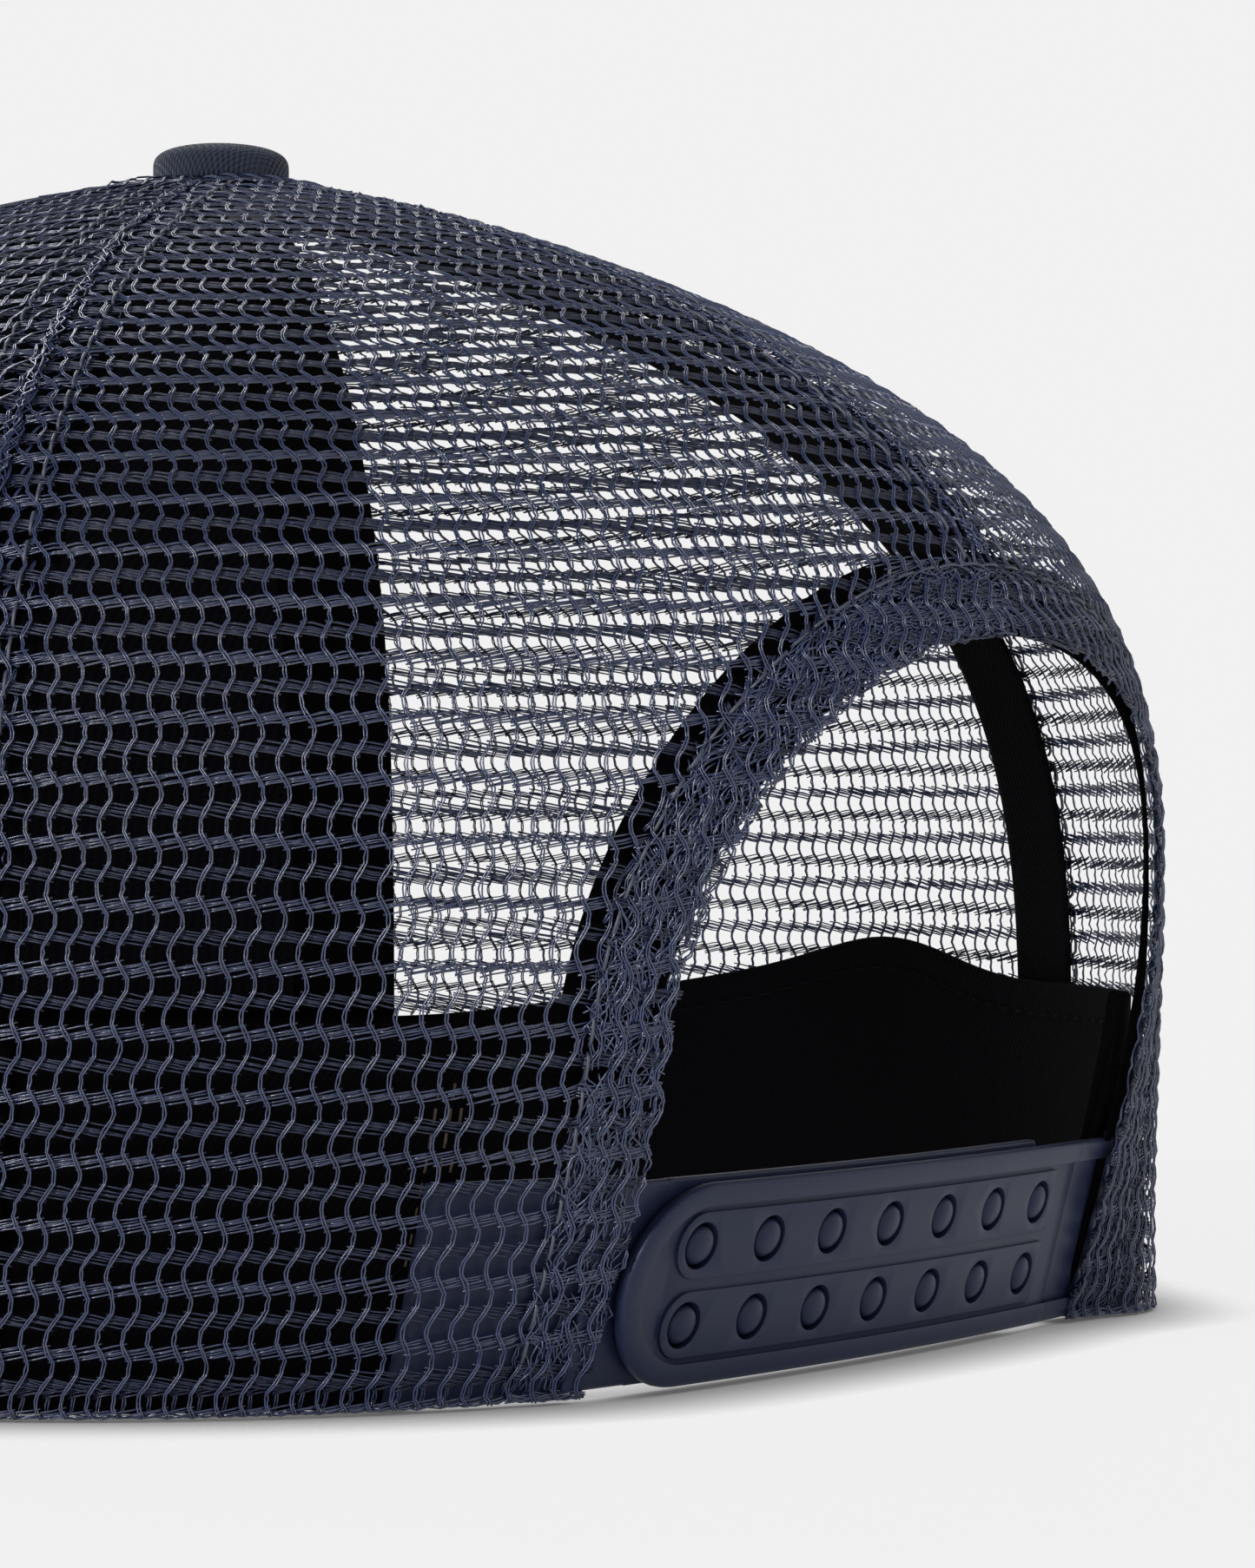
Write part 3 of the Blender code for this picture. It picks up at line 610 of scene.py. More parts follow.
def woven(name, colour, pitch, turn, roughness=0.85, sheen=0.15, depth=0.12, gloss=0.3):
    """Twill: diagonal ribs crossed by finer threads, in the pattern's own millimetres."""
    material, tree, shader = principled(
        name, roughness, Sheen_Weight=sheen, Sheen_Roughness=0.4, Specular_IOR_Level=gloss
    )
    place = new_node(tree, "UVMap", uv_map="pattern").outputs["UV"]
    diagonal = ribs(tree, place, pitch, turn)
    threads = ribs(tree, place, pitch * 0.7, turn + math.radians(62))
    weave = weighted(tree, diagonal, 0.7, threads)
    share = weighted(tree, weave, 0.65, noise(tree, place, 0.12, 3.0))
    coloured(tree, shader, share, scaled(colour, 0.55), scaled(colour, 1.6))
    bump(tree, shader, weave, depth)
    return material


def yarn(name, colour, spread, roughness, gloss=0.8):
    """Shiny filament yarn: uneven dye, and streaks too fine for the mesh."""
    material, tree, shader = principled(name, roughness, Specular_IOR_Level=gloss)
    place = new_node(tree, "TexCoord").outputs["Object"]
    fine, broad = noise(tree, place, 1500.0, 3.0), noise(tree, place, 60.0)
    share = weighted(tree, fine, 0.7, broad)
    coloured(tree, shader, share, scaled(colour, 1.0 - spread), scaled(colour, 1.0 + spread))
    bump(tree, shader, fine, 0.06, 0.6)
    return material


def moulded(name, colour, roughness):
    """Matte moulded plastic with a faint grain and slightly uneven gloss."""
    material, tree, shader = principled(name, roughness, Specular_IOR_Level=0.2)
    place = new_node(tree, "TexCoord").outputs["Object"]
    grain, broad = noise(tree, place, 4000.0, 2.0), noise(tree, place, 90.0, 3.0)
    coloured(tree, shader, broad, scaled(colour, 0.88), scaled(colour, 1.12))
    gloss = maths(tree, "ADD", maths(tree, "MULTIPLY", broad, 0.16), roughness - 0.08)
    tree.links.new(gloss, shader.inputs["Roughness"])
    bump(tree, shader, grain, 0.012, 0.5)
    return material


def brushed(name, colour):
    material, tree, shader = principled(name, 0.35, Metallic=1.0)
    place = new_node(tree, "TexCoord").outputs["Object"]
    share = noise(tree, place, 1200.0, 4.0)
    coloured(tree, shader, share, scaled(colour, 0.8), colour)
    bump(tree, shader, share, 0.01, 0.4)
    return material


DEAD_MATTE = {"roughness": 0.95, "sheen": 0.0, "gloss": 0.06}
# Painted sheen: this net yarn is coloured 1.2 times paler than NET_NAVY, standing in for the sheen of its
# filaments.
NET_PAINTED_SHEEN = yarn("navy_net", scaled(NET_NAVY, 1.2), spread=0.8, roughness=0.3, gloss=0.9)
# Painted light: a lit copy of the yarn in NET_NAVY and a painted shaded copy at 0.55 of it, for how light
# catches one slant of laid yarn and not the other.
NET_PAINTED_LIT = yarn("navy_net_painted_lit", NET_NAVY, spread=0.8, roughness=0.28, gloss=1.0)
NET_PAINTED_SHADE = yarn("navy_net_painted_shade", scaled(NET_NAVY, 0.55), spread=0.7, roughness=0.42, gloss=0.5)
THREAD = yarn("navy_thread", THREAD_NAVY, spread=0.4, roughness=0.5)
BLACK_THREAD = yarn("black_thread", THREAD_BLACK, spread=0.4, roughness=0.9, gloss=0.06)
BROWN_THREAD = yarn("brown_thread", THREAD_BROWN, spread=0.5, roughness=0.6, gloss=0.3)
TWILL = woven("navy_twill", TWILL_NAVY, pitch=0.62, turn=math.radians(32))
BUTTON_TWILL = woven("button_twill", TWILL_NAVY, pitch=0.75, turn=math.radians(40), depth=0.3)
TAPE = woven("black_tape", CLOTH_BLACK, pitch=0.5, turn=math.radians(45), **DEAD_MATTE)
BAND = woven("black_twill", CLOTH_BLACK, pitch=0.55, turn=math.radians(-35), **DEAD_MATTE)
BUCKRAM = woven("stiffener_cloth", BUCKRAM_GREY, pitch=1.1, turn=0.0, depth=0.2, **DEAD_MATTE)
PLASTIC = moulded("navy_plastic", PLASTIC_NAVY, roughness=0.4)
BOARD = moulded("visor_board", BOARD_WHITE, roughness=0.6)
METAL = brushed("button_metal", STEEL)


# ---------------------------------------------------------------- net

def arch_fold(x, z):
    """How far a point lies outside the rear opening, and where it goes when folded over its edge."""
    rise = ARCH_TOP - ARCH_SPRING
    up = np.maximum(z - ARCH_SPRING, 0.0)
    share = np.maximum(np.hypot(x / ARCH_HALF_WIDTH, up / rise), 0.01)
    grow = np.maximum(np.hypot(x, up), 0.01) * (1.0 - 1.0 / share)
    back = np.minimum(2.0 / share - 1.0, 2.0)
    return grow, x * back, np.where(z > ARCH_SPRING, ARCH_SPRING + up * back, z)


class Gore:
    """A crown panel's flat pattern: u across from its middle line and v up from the rim."""

    def __init__(self, left, right, has_arch):
        self.has_arch = has_arch
        self.travels = np.linspace(0.0, CROWN_TOP, GORE_ROWS)
        angles = np.linspace(left, right, GORE_COLUMNS)
        points = crown(angles[None, :], self.travels[:, None])
        widths = np.linalg.norm(np.diff(points, axis=1), axis=2)
        across = np.concatenate([np.zeros((GORE_ROWS, 1)), np.cumsum(widths, axis=1)], axis=1)
        self.half_widths = across[:, -1] / 2
        shares = np.linspace(0.0, 1.0, GORE_COLUMNS)
        self.angles = np.array([np.interp(shares * row[-1], row, angles) for row in across])
        self.top = CROWN_TOP * SIDE_LENGTH

    def half_width(self, v):
        return np.interp(v / SIDE_LENGTH, self.travels, self.half_widths) - SEAM_GAP / 2

    def angle(self, u, v):
        row = np.clip(v / self.top * (GORE_ROWS - 1), 0.0, GORE_ROWS - 1.001)
        share = u / (self.half_width(v) + SEAM_GAP / 2)
        column = np.clip((share + 1.0) / 2.0 * (GORE_COLUMNS - 1), 0.0, GORE_COLUMNS - 1.001)
        i, j = row.astype(int), column.astype(int)
        low = self.angles[i, j] + (self.angles[i, j + 1] - self.angles[i, j]) * (column - j)
        high = self.angles[i + 1, j] + (self.angles[i + 1, j + 1] - self.angles[i + 1, j]) * (column - j)
        return low + (high - low) * (row - i)

    def place(self, u, v, depth):
        """Points, outward directions and which of them exist, with seams, rim and hem folded under."""
        half = self.half_width(np.abs(v))
        beyond = np.abs(u) - half
        turned = (beyond > 0) | (v < 0)
        depth = np.where(turned, FOLD_DEPTH - depth, depth)
        depth = depth + SEAM_DIP * np.exp(-((beyond / SEAM_DIP_WIDTH) ** 2))
        swell = (SIDE_LENGTH - v - SWELL_RADIUS) / SWELL_WIDTH
        depth = depth - BUTTON_SWELL * np.exp(-(swell**2))
        flat_u = np.where(beyond > 0, np.sign(u) * (half - beyond), u)
        keep = (beyond < np.minimum(SEAM_FOLD, SEAM_FOLD_SHARE * half)) & (v > -RIM_FOLD) & (v < self.top)
        angle, travel = self.angle(flat_u, np.abs(v)), np.abs(v) / SIDE_LENGTH
        if self.has_arch:
            spot = crown(angle, travel)
            grow, x, z = arch_fold(spot[..., 0], spot[..., 2])
            inside = grow < 0
            keep &= grow > -HEM_FOLD
            keep &= ~(inside & (beyond > 0))
            angle = np.where(inside, angle_at(x, z), angle)
            travel = np.where(inside, travel_at_height(z), travel)
            depth = np.where(inside & ~turned, FOLD_DEPTH - depth, depth)
            depth = depth + HEM_DIP * np.exp(-(((grow - HEM_STITCH) / HEM_DIP_WIDTH) ** 2))
        return crown_layer(angle, travel, depth), crown_normal(angle, travel), keep


def wale_shape(rng, wales, rows):
    """Places of the chain strands: u, v and depth, four points to a row, two strands to a wale."""
    phases = np.array([-HOLE_SHARE, 0.0, HOLE_SHARE, 0.5])
    sways = np.array([1.0, 1.0, 1.0, 0.0]) * WALE_SWAY
    spreads = np.array([0.8, 1.0, 0.8, 1.15]) * STRAND_SPREAD
    depths = WALE_DEPTH + np.array([-0.04, 0.08, -0.04, -0.12])
    turn = np.where(rows % 2 == 0, 1.0, -1.0)
    v = ((rows[:, None] + RIM_SHARE + phases) * ROW_PITCH).ravel()
    sway = (turn[:, None] * sways).ravel()
    shape = (len(wales), len(v))
    u = wales[:, None] * WALE_PITCH + sway + rng.normal(0.0, NET_JITTER, shape)
    v = v + rng.normal(0.0, NET_JITTER, shape)
    spread = np.tile(spreads, len(rows)) * rng.normal(1.0, STRAND_UNEVEN, shape)
    depth = np.tile(depths, len(rows)) + rng.normal(0.0, NET_JITTER, shape)
    strands = [(u + side * spread, v, depth + side * STRAND_STAGGER) for side in (-1.0, 1.0)]
    return [np.concatenate(values) for values in zip(*strands)]


def bundle_shape(rng, wales, rows):
    """Places of the laid yarns: each runs behind the next wale to the one after it."""
    shares = np.array([0.0, 0.25, 0.5, 0.75, 1.0])
    sinks = np.array([0.08, 0.0, 0.05, 0.0, 0.08])
    turn = np.where(rows % 2 == 0, -1.0, 1.0)
    count = len(wales) * len(rows)
    wale = np.repeat(wales, len(rows)).astype(float)
    row = np.tile(rows, len(wales)).astype(float)
    turn = np.tile(turn, len(wales))
    strands = []
    for side in (-1.0, 0.0, 1.0):
        shift = YARN_SPREAD * (side + rng.normal(0.0, YARN_SCATTER, count))
        u = (wale[:, None] + 2.0 * shares) * WALE_PITCH
        rise = turn[:, None] * YARN_RISE * (2.0 * shares - 1.0)
        v = (row[:, None] + RIM_SHARE - 0.5) * ROW_PITCH + rise + shift[:, None]
        v = v + rng.normal(0.0, NET_JITTER, v.shape)
        depth = YARN_DEPTH + sinks - YARN_CROWN * abs(side) + rng.normal(0.0, NET_JITTER, v.shape)
        strands.append((u, v, depth))
    return [np.concatenate(values) for values in zip(*strands)]


def net_panel(name, left, right, has_arch):
    rng = np.random.default_rng([SEED, int(100 * left) + 1000])
    gore = Gore(left, right, has_arch)
    reach = int((gore.half_widths.max() + SEAM_FOLD) / WALE_PITCH) + 2
    wales = np.arange(-reach, reach + 1)
    rows = np.arange(-2, int(gore.top / ROW_PITCH) + 2)
    # Rising bundles take the painted lit yarn and falling ones the painted shaded yarn. The wales take the
    # yarn with painted sheen.
    kinds = (
        ("wales", wale_shape, rows, STRAND_RADIUS, NET_PAINTED_SHEEN),
        ("bundles_rising", bundle_shape, rows[::2], YARN_RADIUS, NET_PAINTED_LIT),
        ("bundles_falling", bundle_shape, rows[1::2], YARN_RADIUS, NET_PAINTED_SHADE),
    )
    for kind, shape, some_rows, radius, look in kinds:
        points, normals, keep = gore.place(*shape(rng, wales, some_rows))
        obj = mesh_piece(name + "_" + kind, *tubes(points, normals, radius, keep), look)
        nodes = (name,) if kind == "wales" else ()
        belongs(obj, "cap", "navy_net", *nodes)


# ---------------------------------------------------------------- cloth pieces

def front_panel(name, left, right):
    shares = np.linspace(0.0, 1.0, 49)[None, :]
    rises = np.linspace(0.0, 1.0, 81)[:, None]
    foot = front_rim_travel(np.abs(left + (right - left) * shares))
    travels = foot + rises * (CROWN_TOP - foot)
    first = beside(left, travels, SEAM_GAP / 2)
    last = beside(right, travels, -SEAM_GAP / 2)
    angles = first + (last - first) * shares
    edge = np.minimum(shares, 1.0 - shares) * np.hypot(*np.moveaxis(crown(angles, travels), -1, 0)[:2])
    dip = SEAM_DIP * np.exp(-((edge / SEAM_DIP_WIDTH) ** 2))
    return sheet(name, crown_layer(angles, travels, dip), TWILL_THICKNESS, TWILL)


def seam_tape(name, seam, depth, low):
    travels = np.linspace(low, travel_at_radius(TAPE_MEETING), 121)[:, None]
    sides = np.linspace(-TAPE_HALF_WIDTH, TAPE_HALF_WIDTH, 13)[None, :]
    angles = beside(seam, travels, sides)
    travels = np.broadcast_to(travels, angles.shape)
    return sheet(name, crown_layer(angles, travels, depth), TAPE_THICKNESS, TAPE)


def stiffener():
    high = travel_at_radius(STIFFENER_TOP_RADIUS)
    shares = np.linspace(0.0, 1.0, 81)[None, :]
    rises = np.linspace(0.0, 1.0, 61)[:, None]
    foot = front_rim_travel(FRONT_SEAM + (2 * math.pi - 2 * FRONT_SEAM) * shares)
    foot = foot + travel_at_height(STIFFENER_FOOT)
    travels = foot + rises * (high - foot)
    first = beside(FRONT_SEAM, travels, STIFFENER_MARGIN)
    last = beside(2 * math.pi - FRONT_SEAM, travels, -STIFFENER_MARGIN)
    angles = first + (last - first) * shares
    grid = crown_layer(angles, travels, STIFFENER_DEPTH)
    return sheet("front_stiffener_cloth", grid, STIFFENER_THICKNESS, BUCKRAM)


def settled(grid, rim):
    """Stretches each column of a grid downward until its foot is just above the rim's height there."""
    low, high = grid[..., 2].min(axis=0), grid[..., 2].max(axis=0)
    grid = grid.copy()
    grid[..., 2] -= (low - rim - FOOT_CLEARANCE) * (high - grid[..., 2]) / (high - low)
    return grid


def band_top(angle):
    """The band stands highest beside the strap's pull on the wearer's right, and is lower in front."""
    turned = np.remainder(angle + math.pi, 2 * math.pi) - math.pi
    front = smooth_step((np.abs(turned) - BAND_FALL_START) / BAND_FALL_SPAN)
    hump = np.exp(-(((turned - BAND_HUMP) / BAND_HUMP_SPAN) ** 2))
    return BAND_HEIGHT - BAND_FALL * front + BAND_HUMP_RISE * hump


def sweatband():
    """A folded band: a flat loop of cloth swept round the rim, with a rounded top edge."""
    half = BAND_THICKNESS / 2
    columns = 241
    turns = np.linspace(0.0, math.pi, 9)
    top = [(half - half * math.cos(turn), half * math.sin(turn)) for turn in turns]
    rises = np.linspace(0.0, 1.0, 21)
    angle = np.linspace(BAND_END_LEFT, 2 * math.pi - BAND_END_RIGHT, columns)
    foot = travel_at_height(BAND_FOOT) + front_rim_travel(angle)
    crest = travel_at_height(band_top(angle)) - half / SIDE_LENGTH
    outline = []
    for rise in rises:
        outline.append((foot + (crest - foot) * rise, BAND_DEPTH))
    for depth, up in top[1:-1]:
        outline.append((np.full(columns, crest + up / SIDE_LENGTH), BAND_DEPTH + depth))
    for rise in rises[::-1]:
        outline.append((foot + (crest - foot) * rise, BAND_DEPTH + BAND_THICKNESS))
    rows = [crown_layer(angle, travel, depth) for travel, depth in outline]
    grid = settled(np.array(rows), np.interp(front_rim_travel(angle), TRAVEL, HEIGHTS))
    count = len(rows)
    index = np.arange(count * columns).reshape(count, columns)
    after = np.roll(index, -1, axis=0)
    corners = (index[:, :-1], after[:, :-1], after[:, 1:], index[:, 1:])
    faces = [tuple(face) for face in np.stack(corners, axis=-1).reshape(-1, 4)]
    faces += [tuple(index[:, 0][::-1]), tuple(index[:, -1])]
    pattern = grid_pattern(grid).reshape(-1, 2)
    return mesh_piece("sweatband_cloth", grid.reshape(-1, 3), faces, BAND, pattern)


def arch_line(grow, steps, left_foot, right_foot):
    """Angles and travels round the rear opening, from the wearer's left foot to the right one."""
    half, rise = ARCH_HALF_WIDTH + grow, ARCH_TOP + grow - ARCH_SPRING
    turns = np.linspace(0.0, math.pi, steps)
    left = np.linspace(left_foot, ARCH_SPRING, ARCH_LEG_STEPS)[:-1]
    right = np.linspace(ARCH_SPRING, right_foot, ARCH_LEG_STEPS)[1:]
    x = np.concatenate([np.full(len(left), half), half * np.cos(turns), np.full(len(right), -half)])
    z = np.concatenate([left, ARCH_SPRING + rise * np.sin(turns), right])
    return angle_at(x, z), travel_at_height(z)


def arch_binding():
    grows = np.linspace(BINDING_INSET, BINDING_INSET + BINDING_WIDTH, 9)
    lines = [arch_line(grow, 91, BINDING_FOOT, BINDING_FOOT_RIGHT) for grow in grows]
    rows = [crown_layer(*line, TAPE_DEPTH) for line in lines]
    return sheet("arch_binding_tape", np.array(rows)[:, ::-1], TAPE_THICKNESS, TAPE)


def net_seams(foot, clearance):
    """Each seam of the net, and the travel where it starts: the foot, or above the rear opening."""
    seams = (SIDE_SEAM_LEFT, -SIDE_SEAM_RIGHT, FRONT_SEAM, -FRONT_SEAM)
    return [(seam, foot) for seam in seams] + [(0.0, float(travel_at_height(ARCH_TOP + clearance)))]


def seam_ridges():
    """The ruffled yarn ends that fill each net seam, as a few loose strands wandering along it."""
    rng = np.random.default_rng([SEED, 50])
    top = travel_at_radius(BUTTON_RADIUS + 1.0)
    lines, aims = [], []
    for seam, low in net_seams(0.0, HEM_FOLD):
        travels = np.linspace(low, top, RIDGE_STEPS)
        for _ in range(RIDGE_STRANDS):
            aside = rng.normal(0.0, RIDGE_SPREAD, RIDGE_STEPS)
            angles = beside(seam, travels, aside)
            depths = RIDGE_DEPTH + rng.normal(0.0, RIDGE_JITTER, RIDGE_STEPS)
            lines.append(crown_layer(angles, travels, depths))
            aims.append(crown_normal(angles, travels))
    thread_piece("seam_ridges", tubes(np.array(lines), np.array(aims), YARN_RADIUS), NET_PAINTED_SHEEN)


def hem_loops():
    """Loose lengths of yarn packed between the two layers of the rear opening's hem."""
    rng = np.random.default_rng([SEED, 51])
    angles, travels = arch_line(0.0, 241, 1.0, 1.0)
    edge = crown(angles, travels)[:, [0, 2]]
    distance = distances(edge)
    heading = unit(np.gradient(edge, axis=0))
    place = rng.uniform(0.0, 1.0, HEM_LOOPS)[:, None] ** HEM_CROWDING
    along = distance[-1] * place
    spread = np.interp(place, (0.5, 0.75), (1.0, HEM_BUNCHING))
    grow = spread * rng.uniform(0.6, HEM_STITCH, HEM_LOOPS)[:, None]
    turn = rng.normal(0.0, HEM_LOOP_TURN, HEM_LOOPS)[:, None]
    reach = HEM_LOOP_LENGTH * np.linspace(-0.5, 0.5, 5)[None, :]
    along = np.clip(along + reach * np.cos(turn), 0.0, distance[-1])
    grow = grow + reach * np.sin(turn) + rng.normal(0.0, HEM_LOOP_JITTER, along.shape)
    grow = np.clip(grow, 0.2, HEM_FOLD * spread)
    spot = [np.interp(along, distance, edge[:, k]) for k in range(2)]
    aim = [np.interp(along, distance, heading[:, k]) for k in range(2)]
    x, z = spot[0] + grow * aim[1], np.maximum(spot[1] - grow * aim[0], HEM_LOOP_FOOT)
    angle, travel = angle_at(x, z), travel_at_height(z)
    depth = HEM_LOOP_DEPTH + rng.normal(0.0, HEM_LOOP_DEPTH_JITTER, along.shape)
    points, normals = crown_layer(angle, travel, depth), crown_normal(angle, travel)
    left = x.mean(axis=1) > 0
    # The right-hand loops take the painted shaded yarn, which gives painted shade on the hem down the
    # wearer's right.
    for side, some, look in (("left", left, NET_PAINTED_SHEEN), ("right", ~left, NET_PAINTED_SHADE)):
        thread_piece("hem_loops_" + side, tubes(points[some], normals[some], YARN_RADIUS), look)


def topstitch_rows(seam, low, depth):
    """Two rows of stitches, one on each side of a seam."""
    travels = np.linspace(low, travel_at_radius(BUTTON_RADIUS + 2.0), STITCH_STEPS)
    rows = []
    for side in (-TOPSTITCH, TOPSTITCH):
        angles = beside(seam, travels, side)
        rows.append(stitch_line(crown_layer(angles, travels, depth), crown_normal(angles, travels)))
    return rows


def seam_stitches():
    """Two rows of topstitching beside each seam, and one round the rear opening's hem."""
    rows = []
    for seam, low in net_seams(0.002, TOPSTITCH + 3.0):
        rows += topstitch_rows(seam, low, SEAM_STITCH_DEPTH)
    thread_piece("seam_stitches", joined(rows), THREAD)
    line = arch_line(HEM_STITCH, 181, 3.0, 3.0)
    hem = stitch_line(crown_layer(*line, HEM_STITCH_DEPTH), crown_normal(*line))
    thread_piece("hem_stitches", hem, THREAD)
    low = front_rim_travel(np.array(CENTRE_FRONT)) + 0.01
    rows = topstitch_rows(CENTRE_FRONT, low, FRONT_STITCH_DEPTH)
    thread_piece("front_stitches", joined(rows), THREAD, "navy_twill")


def band_stitches():
    """The row under the sweatband's top edge, and the bar of stitches that closes its left end."""
    angle = np.linspace(BAND_END_LEFT + 0.01, 2 * math.pi - BAND_END_RIGHT - 0.01, BAND_STITCH_STEPS)
    travel = travel_at_height(band_top(angle) - BAND_STITCH_DROP)
    points = crown_layer(angle, travel, BAND_DEPTH + BAND_THICKNESS + 0.1)
    row = stitch_line(points, -crown_normal(angle, travel))
    thread_piece("band_stitches", row, BLACK_THREAD, "black_twill")
    rows = []
    travel = np.linspace(travel_at_height(2.5), travel_at_height(BAND_HEIGHT - 3.0), END_STITCH_STEPS)
    for inset in END_STITCH_INSETS:
        angles = beside(BAND_END_LEFT, travel, inset)
        points = crown_layer(angles, travel, BAND_DEPTH - 0.1)
        rows.append(stitch_line(points, crown_normal(angles, travel), length=1.6, gap=0.5, radius=0.16))
    thread_piece("band_end_stitches", joined(rows), BROWN_THREAD, "black_twill")


# ---------------------------------------------------------------- visor and button

def visor_grid(inset, rows, columns, lift):
    """Rows from the crown to the visor's outer edge, columns from the wearer's right to left."""
    turn = np.linspace(0.0, math.pi, columns)
    angle = np.linspace(2 * math.pi - VISOR_SEAM, VISOR_SEAM, columns)
    root = crown_layer(angle, np.zeros(columns), -VISOR_ROOT_GAP)
    corner = crown(VISOR_SEAM, 0.0)[1]
    x = -(VISOR_HALF_WIDTH - inset) * np.cos(turn)
    y = corner - (VISOR_REACH - inset + corner) * np.sin(turn) ** VISOR_ROUNDNESS
    share = np.linspace(0.0, 1.0, rows)[:, None]
    x = root[:, 0] + (x - root[:, 0]) * share
    y = root[:, 1] + (y - root[:, 1]) * share
    return np.stack([x, y, VISOR_LIFT + visor_arch(x) + lift], axis=-1)


def visor():
    half = BOARD_THICKNESS / 2
    grid = visor_grid(VISOR_BOTTOM_INSET, *VISOR_GRID, -half - COVER_GAP)
    bottom = sheet("visor_cover_bottom_cloth", grid, COVER_THICKNESS, TWILL)
    belongs(bottom, "cap", "navy_twill", "visor_cover_bottom")
    lift = half + COVER_GAP + COVER_THICKNESS
    grid = visor_grid(0.0, *VISOR_GRID, lift)
    outward = unit(grid[-1] - grid[-2])
    lips = []
    for drop in np.linspace(0.0, 1.0, LIP_STEPS + 1)[1:]:
        swell = outward * LIP_SWELL * math.sin(math.pi * drop)
        lips.append(grid[-1] + swell - (0.0, 0.0, (2 * lift - LIP_GAP) * drop))
    top = sheet("visor_cover_top_cloth", np.concatenate([grid, np.array(lips)]), COVER_THICKNESS, TWILL)
    belongs(top, "cap", "navy_twill", "visor_cover_top")
    rows = []
    for row in range(VISOR_STITCH_ROWS):
        inset = VISOR_STITCH_EDGE + VISOR_STITCH_STEP * row
        line = visor_grid(inset, 2, 301, lift + VISOR_STITCH_RISE)[-1][6:-6]
        rows.append(stitch_line(line, np.tile((0.0, 0.0, 1.0), (len(line), 1))))
    thread_piece("visor_stitches", joined(rows), THREAD, "navy_twill")


def button_cover():
    """A low dome of ribbed cloth with its edge curled under."""
    turn = np.linspace(0.02, math.pi / 2, 25)
    radius = BUTTON_RADIUS * np.sin(turn) ** BUTTON_SHOULDER
    height = BUTTON_BASE + BUTTON_HEIGHT * np.cos(turn) ** BUTTON_FLATNESS
    under = np.linspace(0.0, 1.0, 9)[1:]
    radius = np.concatenate([radius, BUTTON_RADIUS - BUTTON_CURL * under**3])
    height = np.concatenate([height, BUTTON_BASE - BUTTON_SKIRT * np.sin(math.pi / 2 * under)])
    spin = 2 * math.pi * np.arange(BUTTON_STEPS) / BUTTON_STEPS
    ring = np.stack([radius[:, None] * np.cos(spin), radius[:, None] * np.sin(spin)], axis=-1)
    points = np.concatenate([ring, np.broadcast_to(height[:, None, None], (*ring.shape[:2], 1))], axis=-1)
    index = np.arange(points.shape[0] * BUTTON_STEPS).reshape(-1, BUTTON_STEPS)
    after = np.roll(index, -1, axis=1)
    faces = np.stack([index[:-1], index[1:], after[1:], after[:-1]], axis=-1).reshape(-1, 4)
    faces = [tuple(face) for face in faces] + [tuple(index[0])]
    drape = ring * (1.0 + (BUTTON_BASE + BUTTON_HEIGHT - points[..., 2:]) / BUTTON_RADIUS)
    obj = mesh_piece("button_cover_cloth", points.reshape(-1, 3), faces, BUTTON_TWILL, drape.reshape(-1, 2))
    thick = obj.modifiers.new("cloth", "SOLIDIFY")
    thick.thickness = BUTTON_SKIN * MM
    thick.offset = -1.0
    belongs(obj, "cap", "navy_twill", "button_cover")


# ---------------------------------------------------------------- closure

def closure_reach():
    travel = travel_at_height(CLOSURE_Z)
    edge = float(crown(angle_at(ARCH_HALF_WIDTH, CLOSURE_Z), travel)[1])
    tucked = edge - CLOSURE_TUCK - (PEG_PLATE[1] + HOLE_PLATE[1]) / 2
    return tucked + ARCH_HALF_WIDTH**2 / (2 * CLOSURE_RADIUS)


CLOSURE_Y = closure_reach()
CLOSURE_SKEW = (HOLE_PLATE[1] - PEG_PLATE[1]) / (2 * ARCH_HALF_WIDTH)


def on_closure(flat):
    """Strap coordinates (s along, n outward, h upward) to the cap's."""
    s, n, h = np.moveaxis(np.asarray(flat, float), -1, 0)
    reach = CLOSURE_RADIUS + n
    x = reach * np.sin(s / CLOSURE_RADIUS)
    y = CLOSURE_Y + reach * np.cos(s / CLOSURE_RADIUS) - CLOSURE_RADIUS
    y = y + CLOSURE_LEAN * h + CLOSURE_SKEW * x
    return np.stack([x, y, CLOSURE_Z + h], axis=-1)


def flat_object(name, points, faces):
    mesh = bpy.data.meshes.new(name)
    mesh.from_pydata([tuple(MM * value for value in point) for point in points], [], faces)
    obj = bpy.data.objects.new(name, mesh)
    bpy.context.scene.collection.objects.link(obj)
    shape = bmesh.new()
    shape.from_mesh(mesh)
    bmesh.ops.recalc_face_normals(shape, faces=shape.faces)
    shape.to_mesh(mesh)
    shape.free()
    return obj


def slab(name, outline, low, high):
    """A flat outline (s, h) given thickness from n = low to n = high."""
    count = len(outline)
    points = [(s, n, h) for n in (low, high) for s, h in outline]
    faces = [tuple(range(count))[::-1], tuple(range(count, 2 * count))]
    for k in range(count):
        after = (k + 1) % count
        faces.append((k, after, count + after, count + k))
    return flat_object(name, points, faces)


